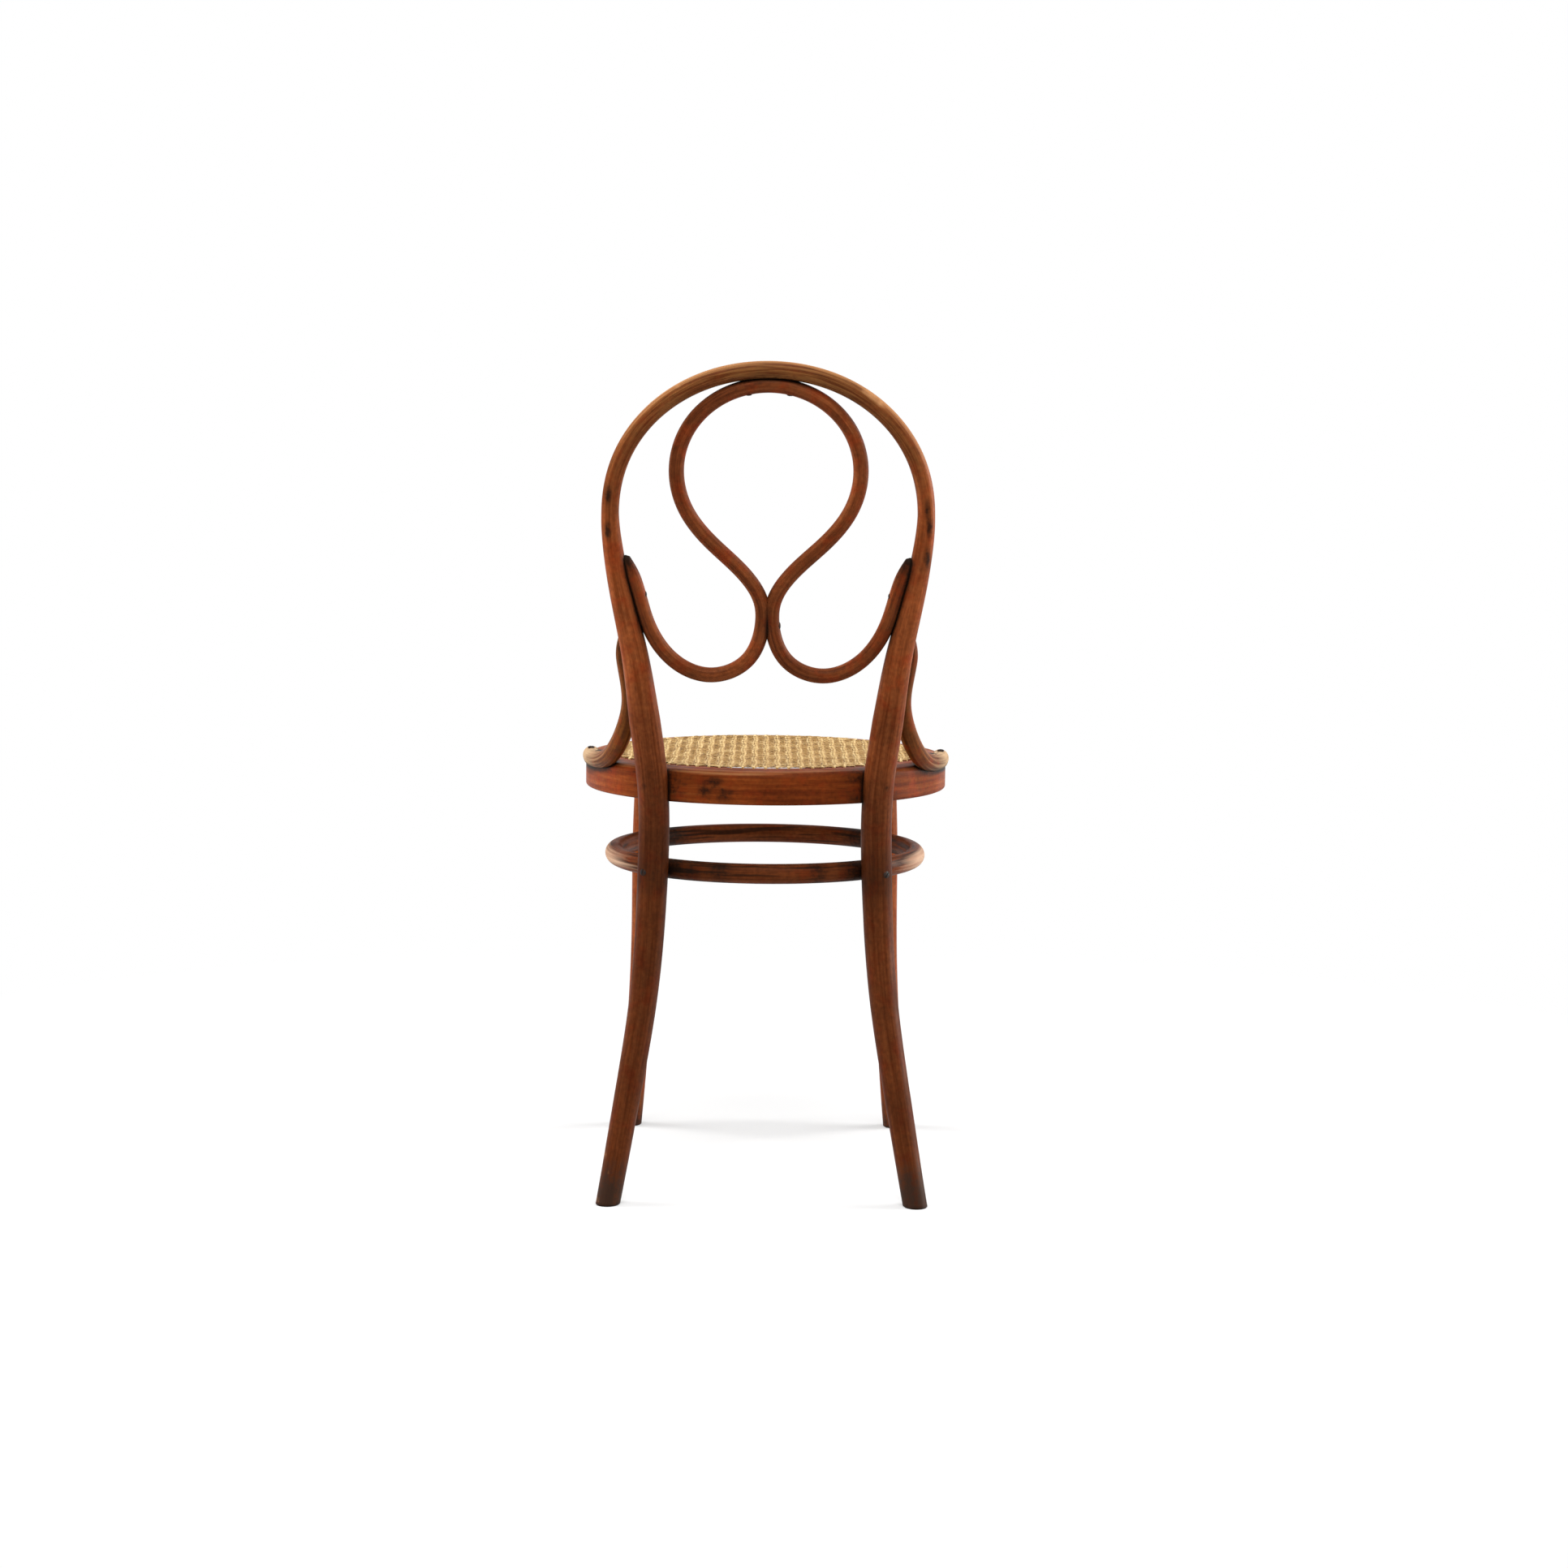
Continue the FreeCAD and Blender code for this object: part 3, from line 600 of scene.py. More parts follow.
@dataclass(frozen=True)
class StainedBeech:
    """Steam-bent beech, stained reddish brown and polished with shellac.

    To the eye, the stain sits darker in the long grain, and the wood is darker low on the legs, partly
    from more stain and partly as painted shade of the dimmer light there. Grime with painted shade
    darkens it round the joints and where parts touch. Hands have worn the polish through to tan wood at
    the top of the bow, where a painted highlight also lies along the top edge; a painted pale sheen
    lies on the outer sides of the leg ring, and wear mixed with a painted highlight on the brace feet
    and the seat ring's top edge. Floors have left the feet dull.
    """

    name: str

    # Where in the patterns the piece starts, so that no two pieces are alike
    place: tuple[float, float, float]

    dark: str = "#6b3213"
    middle: str = "#7e401f"
    light: str = "#8d4c27"
    faded: str = "#74512b"
    faded_streak: str = "#3f230f"
    blush: str = "#7d2c0e"
    # Tan of worn polish, also the colour of painted highlights and sheen
    worn_and_sheen: str = "#a3744c"
    # Near black of stains, also that of painted shade round joints and of the painted shadow line where parts
    # touch
    black_stain_and_shade: str = "#140c08"
    dirt: str = "#2e2019"
    shellac: str = "#f8e2c8"

    # Values of the streaks at which the colours of the bare and of the faded stain stand
    stain_stops: tuple[float, float, float] = (0.32, 0.52, 0.74)
    faded_stops: tuple[float, float] = (0.42, 0.56)

    # Patterns that follow the grain, then those that lie anywhere. Real pores are about a tenth as
    # wide, and are drawn as coarse as they need to show
    streaks: Pattern = Pattern(3.2, 130.0, 4.0)
    combed: Pattern = Pattern(1.9, 60.0)
    pores: Pattern = Pattern(0.8, 14.0, 2.0)
    stains: Pattern = Pattern(7.0, 42.0)
    patches: Pattern = Pattern(19.0, 19.0)
    clouds: Pattern = Pattern(60.0, 60.0)
    mottle: Pattern = Pattern(4.5, 4.5, 4.0)
    knocks: Pattern = Pattern(3.2, 3.2, 5.0, 0.7)

    # Ends of a value, and the shares or shades that it is moved to
    blush_share: Span = (0.50, 0.68, 0.0, 0.55)
    cloud_shade: Span = (0.35, 0.65, 0.80, 1.14)
    mottle_shade: Span = (0.30, 0.70, 0.80, 1.18)
    pore_shade: Span = (0.34, 0.48, 0.60, 1.0)
    stain_share: Span = (0.70, 0.80, 0.0, 0.70)
    knock_share: Span = (0.72, 0.78, 0.0, 0.50)
    # Share of the painted black shadow line where parts touch
    contact_shade_share: Span = (0.05, 0.75, 0.0, 0.94)

    # Darkening low on the legs, partly painted shade, and fading at the crown, with the heights between which
    # they change, in mm
    below: float = 0.38
    below_heights: tuple[float, float] = (400.0, 610.0)
    faded_share: float = 0.0
    faded_heights: tuple[float, float] = (745.0, 890.0)

    # How far patterns break up a mark's edge, then the value at which each mark shows and its most
    ragged_stains: Span = (0.30, 0.70, -0.20, 0.20)
    ragged_mottle: Span = (0.35, 0.65, -0.22, 0.22)
    ragged_streaks: Span = (0.30, 0.70, -0.28, 0.28)
    grime_and_shade: tuple[float, float] = (0.25, 0.88)
    soil: tuple[float, float] = (0.20, 0.92)
    wear_and_sheen: tuple[float, float] = (0.30, 0.85)
    whole_mark: float = 0.15

    # The polish, from glossy to dull, and the relief of the grain, its depth in mm
    pore_strength: float = 0.5
    roughness: tuple[float, float] = (0.38, 0.56)
    # Extra roughness where the wear and painted sheen lie
    wear_and_sheen_roughness: float = 0.2
    ior: float = 1.5
    gloss: float = 0.06
    streak_relief: float = 0.6
    relief_strength: float = 0.22
    relief_depth: float = 0.6

    def material(self) -> Material:
        """Build the finish.

        Returns:
            Material that reads the attribute unbent, and the marks of grime with painted shade, of the
            painted shadow line where parts touch, of wear with painted sheen, and of soil.
        """
        material, tree, shader = bare_material(self.name)
        grain = add(tree, "ShaderNodeAttribute", attribute_name="unbent").outputs["Vector"]
        place = add(tree, "ShaderNodeTexCoord").outputs["Object"]
        height = add(tree, "ShaderNodeSeparateXYZ", {0: place}).outputs["Z"]
        # Painted black shadow line where parts touch
        contact_shade = add(tree, "ShaderNodeAttribute", attribute_name="contact_shade").outputs["Fac"]
        streaks, combed, pores, stains = (pattern.drawn(tree, grain, self.place) for pattern in (
            self.streaks, self.combed, self.pores, self.stains))
        patches, clouds, mottle, knocks = (pattern.drawn(tree, place, self.place) for pattern in (
            self.patches, self.clouds, self.mottle, self.knocks))
        low, high = (level * MM for level in self.below_heights)
        start, crown = (level * MM for level in self.faded_heights)
        moved = {}
        for name, value, span in (
            ("blush", patches, self.blush_share),
            ("cloud", clouds, self.cloud_shade),
            ("mottle", mottle, self.mottle_shade),
            ("fade", height, (start, crown, 0.0, self.faded_share)),
            # Darker low on the legs, partly painted shade
            ("depth", height, (low, high, self.below, 1.0)),
            ("pore", pores, self.pore_shade),
            ("stain", stains, self.stain_share),
            ("knock", knocks, self.knock_share),
            ("contact_shade", contact_shade, self.contact_shade_share),
            ("ragged_stains", stains, self.ragged_stains),
            ("ragged_mottle", mottle, self.ragged_mottle),
            ("ragged_streaks", streaks, self.ragged_streaks),
        ):
            moved[name] = add(tree, "ShaderNodeMapRange", dict(enumerate((value, *span)))).outputs[0]

        # Marks from the mesh: grime with painted shade, soil, and wear with painted sheen, their edges broken
        # up by the grain and the mottle
        stains_and_mottle = {0: moved["ragged_stains"], 1: moved["ragged_mottle"]}
        ragged = add(tree, "ShaderNodeMath", stains_and_mottle).outputs[0]
        marks = {}
        for name, edge, (shows, most) in (
            ("grime_and_shade", ragged, self.grime_and_shade),
            ("soil", ragged, self.soil),
            ("wear_and_sheen", moved["ragged_streaks"], self.wear_and_sheen),
        ):
            value = add(tree, "ShaderNodeAttribute", attribute_name=name).outputs["Fac"]
            rough = add(tree, "ShaderNodeMath", {0: value, 1: edge}).outputs[0]
            kept = add(tree, "ShaderNodeMapRange", {0: rough, 1: shows, 2: 1.0, 3: 0.0, 4: most}).outputs[0]
            gate = add(tree, "ShaderNodeMapRange", {0: value, 1: 0.0, 2: self.whole_mark}).outputs[0]
            marks[name] = add(tree, "ShaderNodeMath", {0: kept, 1: gate}, operation="MULTIPLY").outputs[0]

        # Stain by the grain, and the olive brown that it has faded to high on the bow
        stops = tuple(zip(self.stain_stops, (self.dark, self.middle, self.light)))
        colour = add(tree, "ShaderNodeValToRGB", {"Fac": streaks}, stops=stops).outputs["Color"]
        stops = tuple(zip(self.faded_stops, (self.faded_streak, self.faded)))
        faded = add(tree, "ShaderNodeValToRGB", {"Fac": combed}, stops=stops).outputs["Color"]
        for blend, coat, share in (
            # Uneven take-up of the stain: redder patches, clouds a hand wide and a fine mottle
            ("MIX", linear(self.blush), moved["blush"]),
            ("MULTIPLY", moved["cloud"], 1.0),
            ("MULTIPLY", moved["mottle"], 1.0),
            ("MIX", faded, moved["fade"]),
            # Darker low on the legs, partly more coats of stain and polish and partly painted shade, and fine
            # open pores
            ("MULTIPLY", moved["depth"], 1.0),
            ("MULTIPLY", moved["pore"], self.pore_strength),
            # Near-black stains along the grain, grime with painted shade round the joints, floor dirt
            ("MIX", linear(self.black_stain_and_shade), moved["stain"]),
            ("MIX", linear(self.black_stain_and_shade), marks["grime_and_shade"]),
            ("MIX", linear(self.dirt), marks["soil"]),
            # Polish worn through to tan wood where hands rub, with painted highlights and sheen, small
            # knocks, and the painted black shadow line where parts touch
            ("MIX", linear(self.worn_and_sheen), marks["wear_and_sheen"]),
            ("MIX", linear(self.worn_and_sheen), moved["knock"]),
            ("MIX", linear(self.black_stain_and_shade), moved["contact_shade"]),
        ):
            colour = add(tree, "ShaderNodeMix", {0: share, 6: colour, 7: coat},
                         data_type="RGBA", blend_type=blend).outputs[2]

        # Polish is duller where the stain is darker, and where the wear and painted sheen lie
        glossy, dull = self.roughness
        span = (*self.cloud_shade[2:], dull, glossy)
        polish = add(tree, "ShaderNodeMapRange", dict(enumerate((moved["cloud"], *span)))).outputs[0]
        rub = add(tree, "ShaderNodeMath", {0: marks["wear_and_sheen"], 1: self.wear_and_sheen_roughness, 2: polish},
                  operation="MULTIPLY_ADD").outputs[0]
        relief = add(tree, "ShaderNodeMath", {0: streaks, 1: self.streak_relief, 2: pores},
                     operation="MULTIPLY_ADD").outputs[0]
        bump = add(tree, "ShaderNodeBump", {"Height": relief, "Strength": self.relief_strength,
                                            "Distance": self.relief_depth * MM}).outputs[0]
        feed(shader, {"Base Color": colour, "Roughness": rub, "Normal": bump, "IOR": self.ior,
                      "Specular IOR Level": self.gloss, "Specular Tint": linear(self.shellac)})
        return material


@dataclass(frozen=True)
class RattanCane:
    """Peeled rattan bark, split to flat strands, gone straw yellow to brown with age.

    To the eye, its skin keeps a soft gloss, and fine fibres run along each strand. Real fibres are
    finer, and are drawn as coarse as they need to show.
    """

    name: str = "rattan_cane_split"
    pale: str = "#ccb07c"
    straw: str = "#98743f"
    brown: str = "#50361a"
    fibre_width: float = 0.45
    fibre_length: float = 22.0
    blotch_size: float = 28.0
    detail: float = 3.0
    pattern_share: float = 0.5

    # Ends of what the strand's tone and both patterns add up to, and where the colours stand in it
    levels: tuple[float, float] = (0.35, 1.35)
    stops: tuple[float, float, float] = (0.1, 0.5, 0.9)
    roughness: float = 0.5
    ior: float = 1.48
    gloss: float = 0.2
    relief_strength: float = 0.3
    relief_depth: float = 0.3

    def material(self) -> Material:
        """Build the finish.

        Returns:
            Material that reads the attributes unbent and tone.
        """
        material, tree, shader = bare_material(self.name)
        grain = add(tree, "ShaderNodeAttribute", attribute_name="unbent").outputs["Vector"]
        tone = add(tree, "ShaderNodeAttribute", attribute_name="tone").outputs["Fac"]
        scale = (1 / (self.fibre_width * MM), 1 / (self.fibre_width * MM), 1 / (self.fibre_length * MM))
        vector = add(tree, "ShaderNodeMapping", {"Vector": grain, "Scale": scale}).outputs[0]
        fibres = add(tree, "ShaderNodeTexNoise",
                     {"Vector": vector, "Scale": 1.0, "Detail": self.detail, "W": tone},
                     noise_dimensions="4D").outputs["Fac"]
        place = add(tree, "ShaderNodeTexCoord").outputs["Object"]
        blotch = add(tree, "ShaderNodeTexNoise",
                     {"Vector": place, "Scale": 1 / (self.blotch_size * MM),
                      "Detail": self.detail}).outputs["Fac"]
        level = tone
        for pattern in (fibres, blotch):
            level = add(tree, "ShaderNodeMath", {0: pattern, 1: self.pattern_share, 2: level},
                        operation="MULTIPLY_ADD").outputs[0]
        share = add(tree, "ShaderNodeMapRange", dict(enumerate((level, *self.levels)))).outputs[0]
        stops = tuple(zip(self.stops, (self.brown, self.straw, self.pale)))
        colour = add(tree, "ShaderNodeValToRGB", {"Fac": share}, stops=stops).outputs["Color"]
        bump = add(tree, "ShaderNodeBump", {"Height": fibres, "Strength": self.relief_strength,
                                            "Distance": self.relief_depth * MM}).outputs[0]
        feed(shader, {"Base Color": colour, "Normal": bump, "Roughness": self.roughness, "IOR": self.ior,
                      "Specular IOR Level": self.gloss})
        return material


@dataclass(frozen=True)
class BlackenedSteel:
    """Turned steel screws, blued and gone dull: to the eye almost black, with brown spots of rust."""

    name: str = "blackened_steel_turned"
    blue: str = "#1c1b1a"
    rust: str = "#3a2216"
    spot_size: float = 2.5
    detail: float = 4.0

    # Values of the spots at which the colours stand, and the roughness that they are moved to
    rust_stops: tuple[float, float] = (0.45, 0.65)
    roughness: Span = (0.3, 0.7, 0.5, 0.75)
    metallic: float = 0.7

    def material(self) -> Material:
        """Build the finish.

        Returns:
            Material on object coordinates.
        """
        material, tree, shader = bare_material(self.name)
        place = add(tree, "ShaderNodeTexCoord").outputs["Object"]
        spots = add(tree, "ShaderNodeTexNoise",
                    {"Vector": place, "Scale": 1 / (self.spot_size * MM),
                     "Detail": self.detail}).outputs["Fac"]
        stops = tuple(zip(self.rust_stops, (self.blue, self.rust)))
        colour = add(tree, "ShaderNodeValToRGB", {"Fac": spots}, stops=stops).outputs["Color"]
        rough = add(tree, "ShaderNodeMapRange", dict(enumerate((spots, *self.roughness)))).outputs[0]
        feed(shader, {"Base Color": colour, "Roughness": rough, "Metallic": self.metallic})
        return material


@dataclass
class Joints:
    """Sizes and places that the wooden parts share, in mm, with angles in degrees."""

    seat_radius: float = 205.0
    seat_height: float = 470.0
    seat_thickness: float = 37.5
    rim_width: float = 31.0
    leg_ring_radius: float = 171.9
    leg_ring_height: float = 353.5
    leg_ring_diameter: float = 22.0
    leg_diameter: float = 34.0
    leg_spacing: float = 245.5
    front_leg_diameter: float = 30.0
    front_leg_angle: float = 43.3
    seat_housing: float = 8.0
    ring_housing: float = 2.0
    lean: float = 12.3
    back_rise: float = 456.4
    bow_diameter: float = 18.8
    bow_half_width: float = 166.9
    bow_rise: float = 153.8
    bow_fullness: float = 2.05

    def behind(self, reach: float, height: float) -> Array:
        """Right back leg's centre at a distance from the seat's axis."""
        across = self.leg_spacing / 2
        return np.array([across, SEAT_AXIS_Y - math.sqrt(reach ** 2 - across ** 2), height])

    def outside_ring(self, leg_diameter: float) -> float:
        """Distance from the seat's axis of a leg that is housed in the leg ring's outer side."""
        return self.leg_ring_radius + (self.leg_ring_diameter + leg_diameter) / 2 - self.ring_housing

    @property
    def seat_joint(self) -> Array:
        """Where the right back leg meets the seat ring."""
        reach = self.seat_radius + self.leg_diameter / 2 - self.seat_housing
        return self.behind(reach, self.seat_height - self.seat_thickness / 2)

    @property
    def ring_joint(self) -> Array:
        """Where the right back leg meets the leg ring."""
        return self.behind(self.outside_ring(self.leg_diameter), self.leg_ring_height)

    @property
    def front_ring_joint(self) -> Array:
        """Where the right front leg meets the leg ring."""
        return polar(self.outside_ring(self.front_leg_diameter), self.front_leg_angle, self.leg_ring_height)

    def on_back(self, across: float, rise: float) -> Array:
        """Point in the leaning plane of the back.

        Args:
            across: Distance from the middle of the chair, in mm.
            rise: Distance along the plane above the seat joint, in mm.

        Returns:
            The point, in mm.
        """
        joint, lean = self.seat_joint, math.radians(self.lean)
        return np.array([across, joint[1] - rise * math.sin(lean), joint[2] + rise * math.cos(lean)])


JOINTS = Joints()


def other_side(points: Array) -> Array:
    """The same places on the other side of the chair."""
    return points * np.array([-1.0, 1.0, 1.0])


def both_sides(points: Sequence[Array]) -> list[Array]:
    """Places on the right with the same places on the left."""
    return [*points, *(other_side(point) for point in points)]


def with_other_half(points: Sequence[Array]) -> list[Array]:
    """Points of one side and, in reverse, of the other; the last lies between them."""
    return [*points, *(other_side(point) for point in reversed(points[:-1]))]


def swelling(along: Array, small: float, full: float, length: float) -> Array:
    """Radius that swells from a rod's tip to its full size.

    Args:
        along: Distance of each point from the tip, in mm.
        small: Radius at the tip, in mm.
        full: Full radius, in mm.
        length: Distance from the tip at which the rod is full, in mm.

    Returns:
        One radius for each point, in mm.
    """
    return small + (full - small) * np.sin(np.clip(along / length, 0, 1) * math.pi / 2)


def uneven(line: Array, seed: int, share: float, waves: Sequence[float] = (210.0, 95.0, 47.0)) -> Array:
    """Slow hand-worked variation along a rod.

    Args:
        line: Centre line, in mm.
        seed: Seed of the variation.
        share: Largest change as a share of the size.
        waves: Lengths of the waves that it is made of, in mm.

    Returns:
        One factor close to 1 for each point.
    """
    draw = np.random.default_rng(seed)
    along = lengths_along(line)
    total = np.zeros(len(line))
    for wave in waves:
        total += math.sqrt(wave) * np.sin(2 * math.pi * (along / wave + draw.random()))
    return 1 + share * total / np.abs(total).max()


@dataclass
class BackFrame:
    """Both back legs and the bow, bent from one tapered rod."""

    foot_diameter: float = 26.5
    foot_spacing: float = 333.4
    foot_reach: float = 237.0
    foot_overrun: float = 8.0
    foot_round: float = 1.2
    taper_start: float = 52.0

    # Bends of the legs and of the uprights, as shares of the way down or up and of the way out
    flare: Pairs = ((0.385, 0.20), (0.685, 0.565))
    sweep: Pairs = ((0.25, 0.20), (0.50, 0.445), (0.73, 0.777), (0.87, 0.935))
    bow_angles: tuple[float, ...] = (0.0, 22.5, 45.0, 67.5, 90.0)
    unevenness: float = 0.012
    within_cad: float = 0.994
    seed: int = 3
    sides: int = 40
    step: float = 4.0

    # How far each mark reaches, in mm, and how strong it is; spots are (across, height) from behind
    joint_grime_and_shade: tuple[float, float] = (60.0, 0.45)
    soiled: float = 60.0
    soil_start: float = 1.3
    wear_and_sheen_rise: float = 110.0
    wear_and_sheen_most: float = 0.85
    stains: Pairs = ((167.0, 752.0), (170.0, 736.0), (169.0, 700.0), (-168.0, 764.0), (-169.0, 728.0))
    scuffs: Pairs = ((116.0, 865.0), (108.0, 872.0), (102.0, 877.0), (-97.0, 882.0))
    knocks: Pairs = ((-171.0, 52.0), (-178.0, 38.0), (-168.0, 36.0), (-178.0, 6.0))

    # Place of the painted shade round the head of the right seat bolt, where the leg has no recess, then the
    # reach of all small spots
    bolt_recess_shade: tuple[float, float, float] = (130.0, -150.0, 451.3)
    spot_reach: float = 7.0
    stain_squash: float = 0.35
    scuff_reach: float = 10.0
    knock_strength: float = 0.5

    # Cosines of the angles from outward at which the crown's wear with painted highlight, and the scuffs,
    # start and are full
    wear_and_sheen_facing: tuple[float, float] = (0.55, 1.0)
    scuff_facing: tuple[float, float] = (0.1, 0.5)

    @property
    def widest_rise(self) -> float:
        """Rise of the widest point of the bow above the seat joint."""
        return JOINTS.back_rise - JOINTS.bow_rise

    def waypoints(self) -> list[Array]:
        """Points from the right foot over the bow to the left foot.

        Returns:
            Points that the centre line passes through, in mm.
        """
        foot = np.array([self.foot_spacing / 2, SEAT_AXIS_Y - self.foot_reach, 0.0])
        joint = JOINTS.ring_joint
        points = [foot]
        for down, side in reversed(self.flare):
            point = joint + (foot - joint) * side
            point[2] = joint[2] * (1 - down)
            points.append(point)
        points += [joint, JOINTS.seat_joint]
        start = JOINTS.seat_joint[0]
        for up, side in self.sweep:
            across = start + (JOINTS.bow_half_width - start) * side
            points.append(JOINTS.on_back(across, self.widest_rise * up))
        power = 2 / JOINTS.bow_fullness
        for degrees in self.bow_angles:
            angle = math.radians(degrees)
            across = JOINTS.bow_half_width * math.cos(angle) ** power
            rise = self.widest_rise + JOINTS.bow_rise * math.sin(angle) ** power
            points.append(JOINTS.on_back(across, rise))
        return with_other_half(points)

    def radius_at(self, heights: Array) -> Array:
        """Taper of the rod.

        Args:
            heights: Heights above the floor, in mm.

        Returns:
            Radius of the rod at each of them, in mm.
        """
        stops = (0.0, JOINTS.leg_ring_height, JOINTS.seat_height + self.taper_start, self.widest_height)
        leg = JOINTS.leg_diameter / 2
        return np.interp(heights, stops, (self.foot_diameter / 2, leg, leg, JOINTS.bow_diameter / 2))

    @property
    def widest_height(self) -> float:
        """Height above the floor of the widest point of the bow."""
        return JOINTS.on_back(0.0, self.widest_rise)[2]

    def line(self) -> Array:
        """Centre line from the right foot to the left foot."""
        return smooth_path(self.waypoints(), self.step)

    def upright_at(self, height: float) -> tuple[Array, float]:
        """Find the right upright at a height.

        Args:
            height: Height above the floor, in mm.

        Returns:
            Its centre and its radius, in mm.
        """
        line = self.line()
        half = line[:np.argmax(line[:, 2]) + 1]
        centre = np.array([np.interp(height, half[:, 2], half[:, axis]) for axis in range(3)])
        return centre, float(self.radius_at(np.array([height]))[0])

    def build(self, sweep: Tree, finish: StainedBeech) -> Piece:
        """Build and dress the back frame.

        Args:
            sweep: Tree that sweeps a section along guide edges.
            finish: Finish of the wood.

        Returns:
            The finished piece.
        """
        line = self.line()
        ends = []
        for first, second in ((line[0], line[1]), (line[-1], line[-2])):
            ends.append(first + (first - second) / np.linalg.norm(first - second) * self.foot_overrun)
        line = np.concatenate([ends[:1], line, ends[1:]])
        height = line[:, 2]
        # Grime with painted shade round the leg ring's joints, wear with a painted highlight over the crown,
        # floor dirt on the feet
        reach, most = self.joint_grime_and_shade
        marks = {
            "grime_and_shade": near(line, both_sides([JOINTS.ring_joint]), reach) * most,
            "wear_and_sheen": np.clip((height - self.widest_height) / self.wear_and_sheen_rise, 0, 1),
            "soil": np.clip(self.soil_start - self.soil_start * height / self.soiled, 0, 1),
        }
        radii = self.radius_at(height) * uneven(line, self.seed, self.unevenness)
        run = Run(line, np.minimum(radii, self.radius_at(height) * self.within_cad), marks=marks)
        piece = rod("back_frame_bent", sweep, finish, run, self.sides, self.foot_round)
        mesh = piece.data
        places = read_points(mesh)
        outward = places - JOINTS.on_back(0.0, self.widest_rise)
        worn_and_sheen = facing(mesh, outward, *self.wear_and_sheen_facing) * read_mark(mesh, "wear_and_sheen")
        scuffed = seen_near(places, self.scuffs, self.scuff_reach) * facing(mesh, outward, *self.scuff_facing)
        write_mark(mesh, "wear_and_sheen", worn_and_sheen * self.wear_and_sheen_most)
        deepen(mesh, "wear_and_sheen", scuffed)
        deepen(mesh, "wear_and_sheen", seen_near(places, self.knocks, self.spot_reach) * self.knock_strength)
        deepen(mesh, "grime_and_shade", seen_near(places, self.stains, self.spot_reach, self.stain_squash))
        # Painted shade round the heads of the seat bolts, standing for a recess that the leg does not have
        deepen(mesh, "grime_and_shade", near(places, both_sides([np.array(self.bolt_recess_shade)]), self.spot_reach))
        return carry(piece, Slot.WOOD, "back_frame")


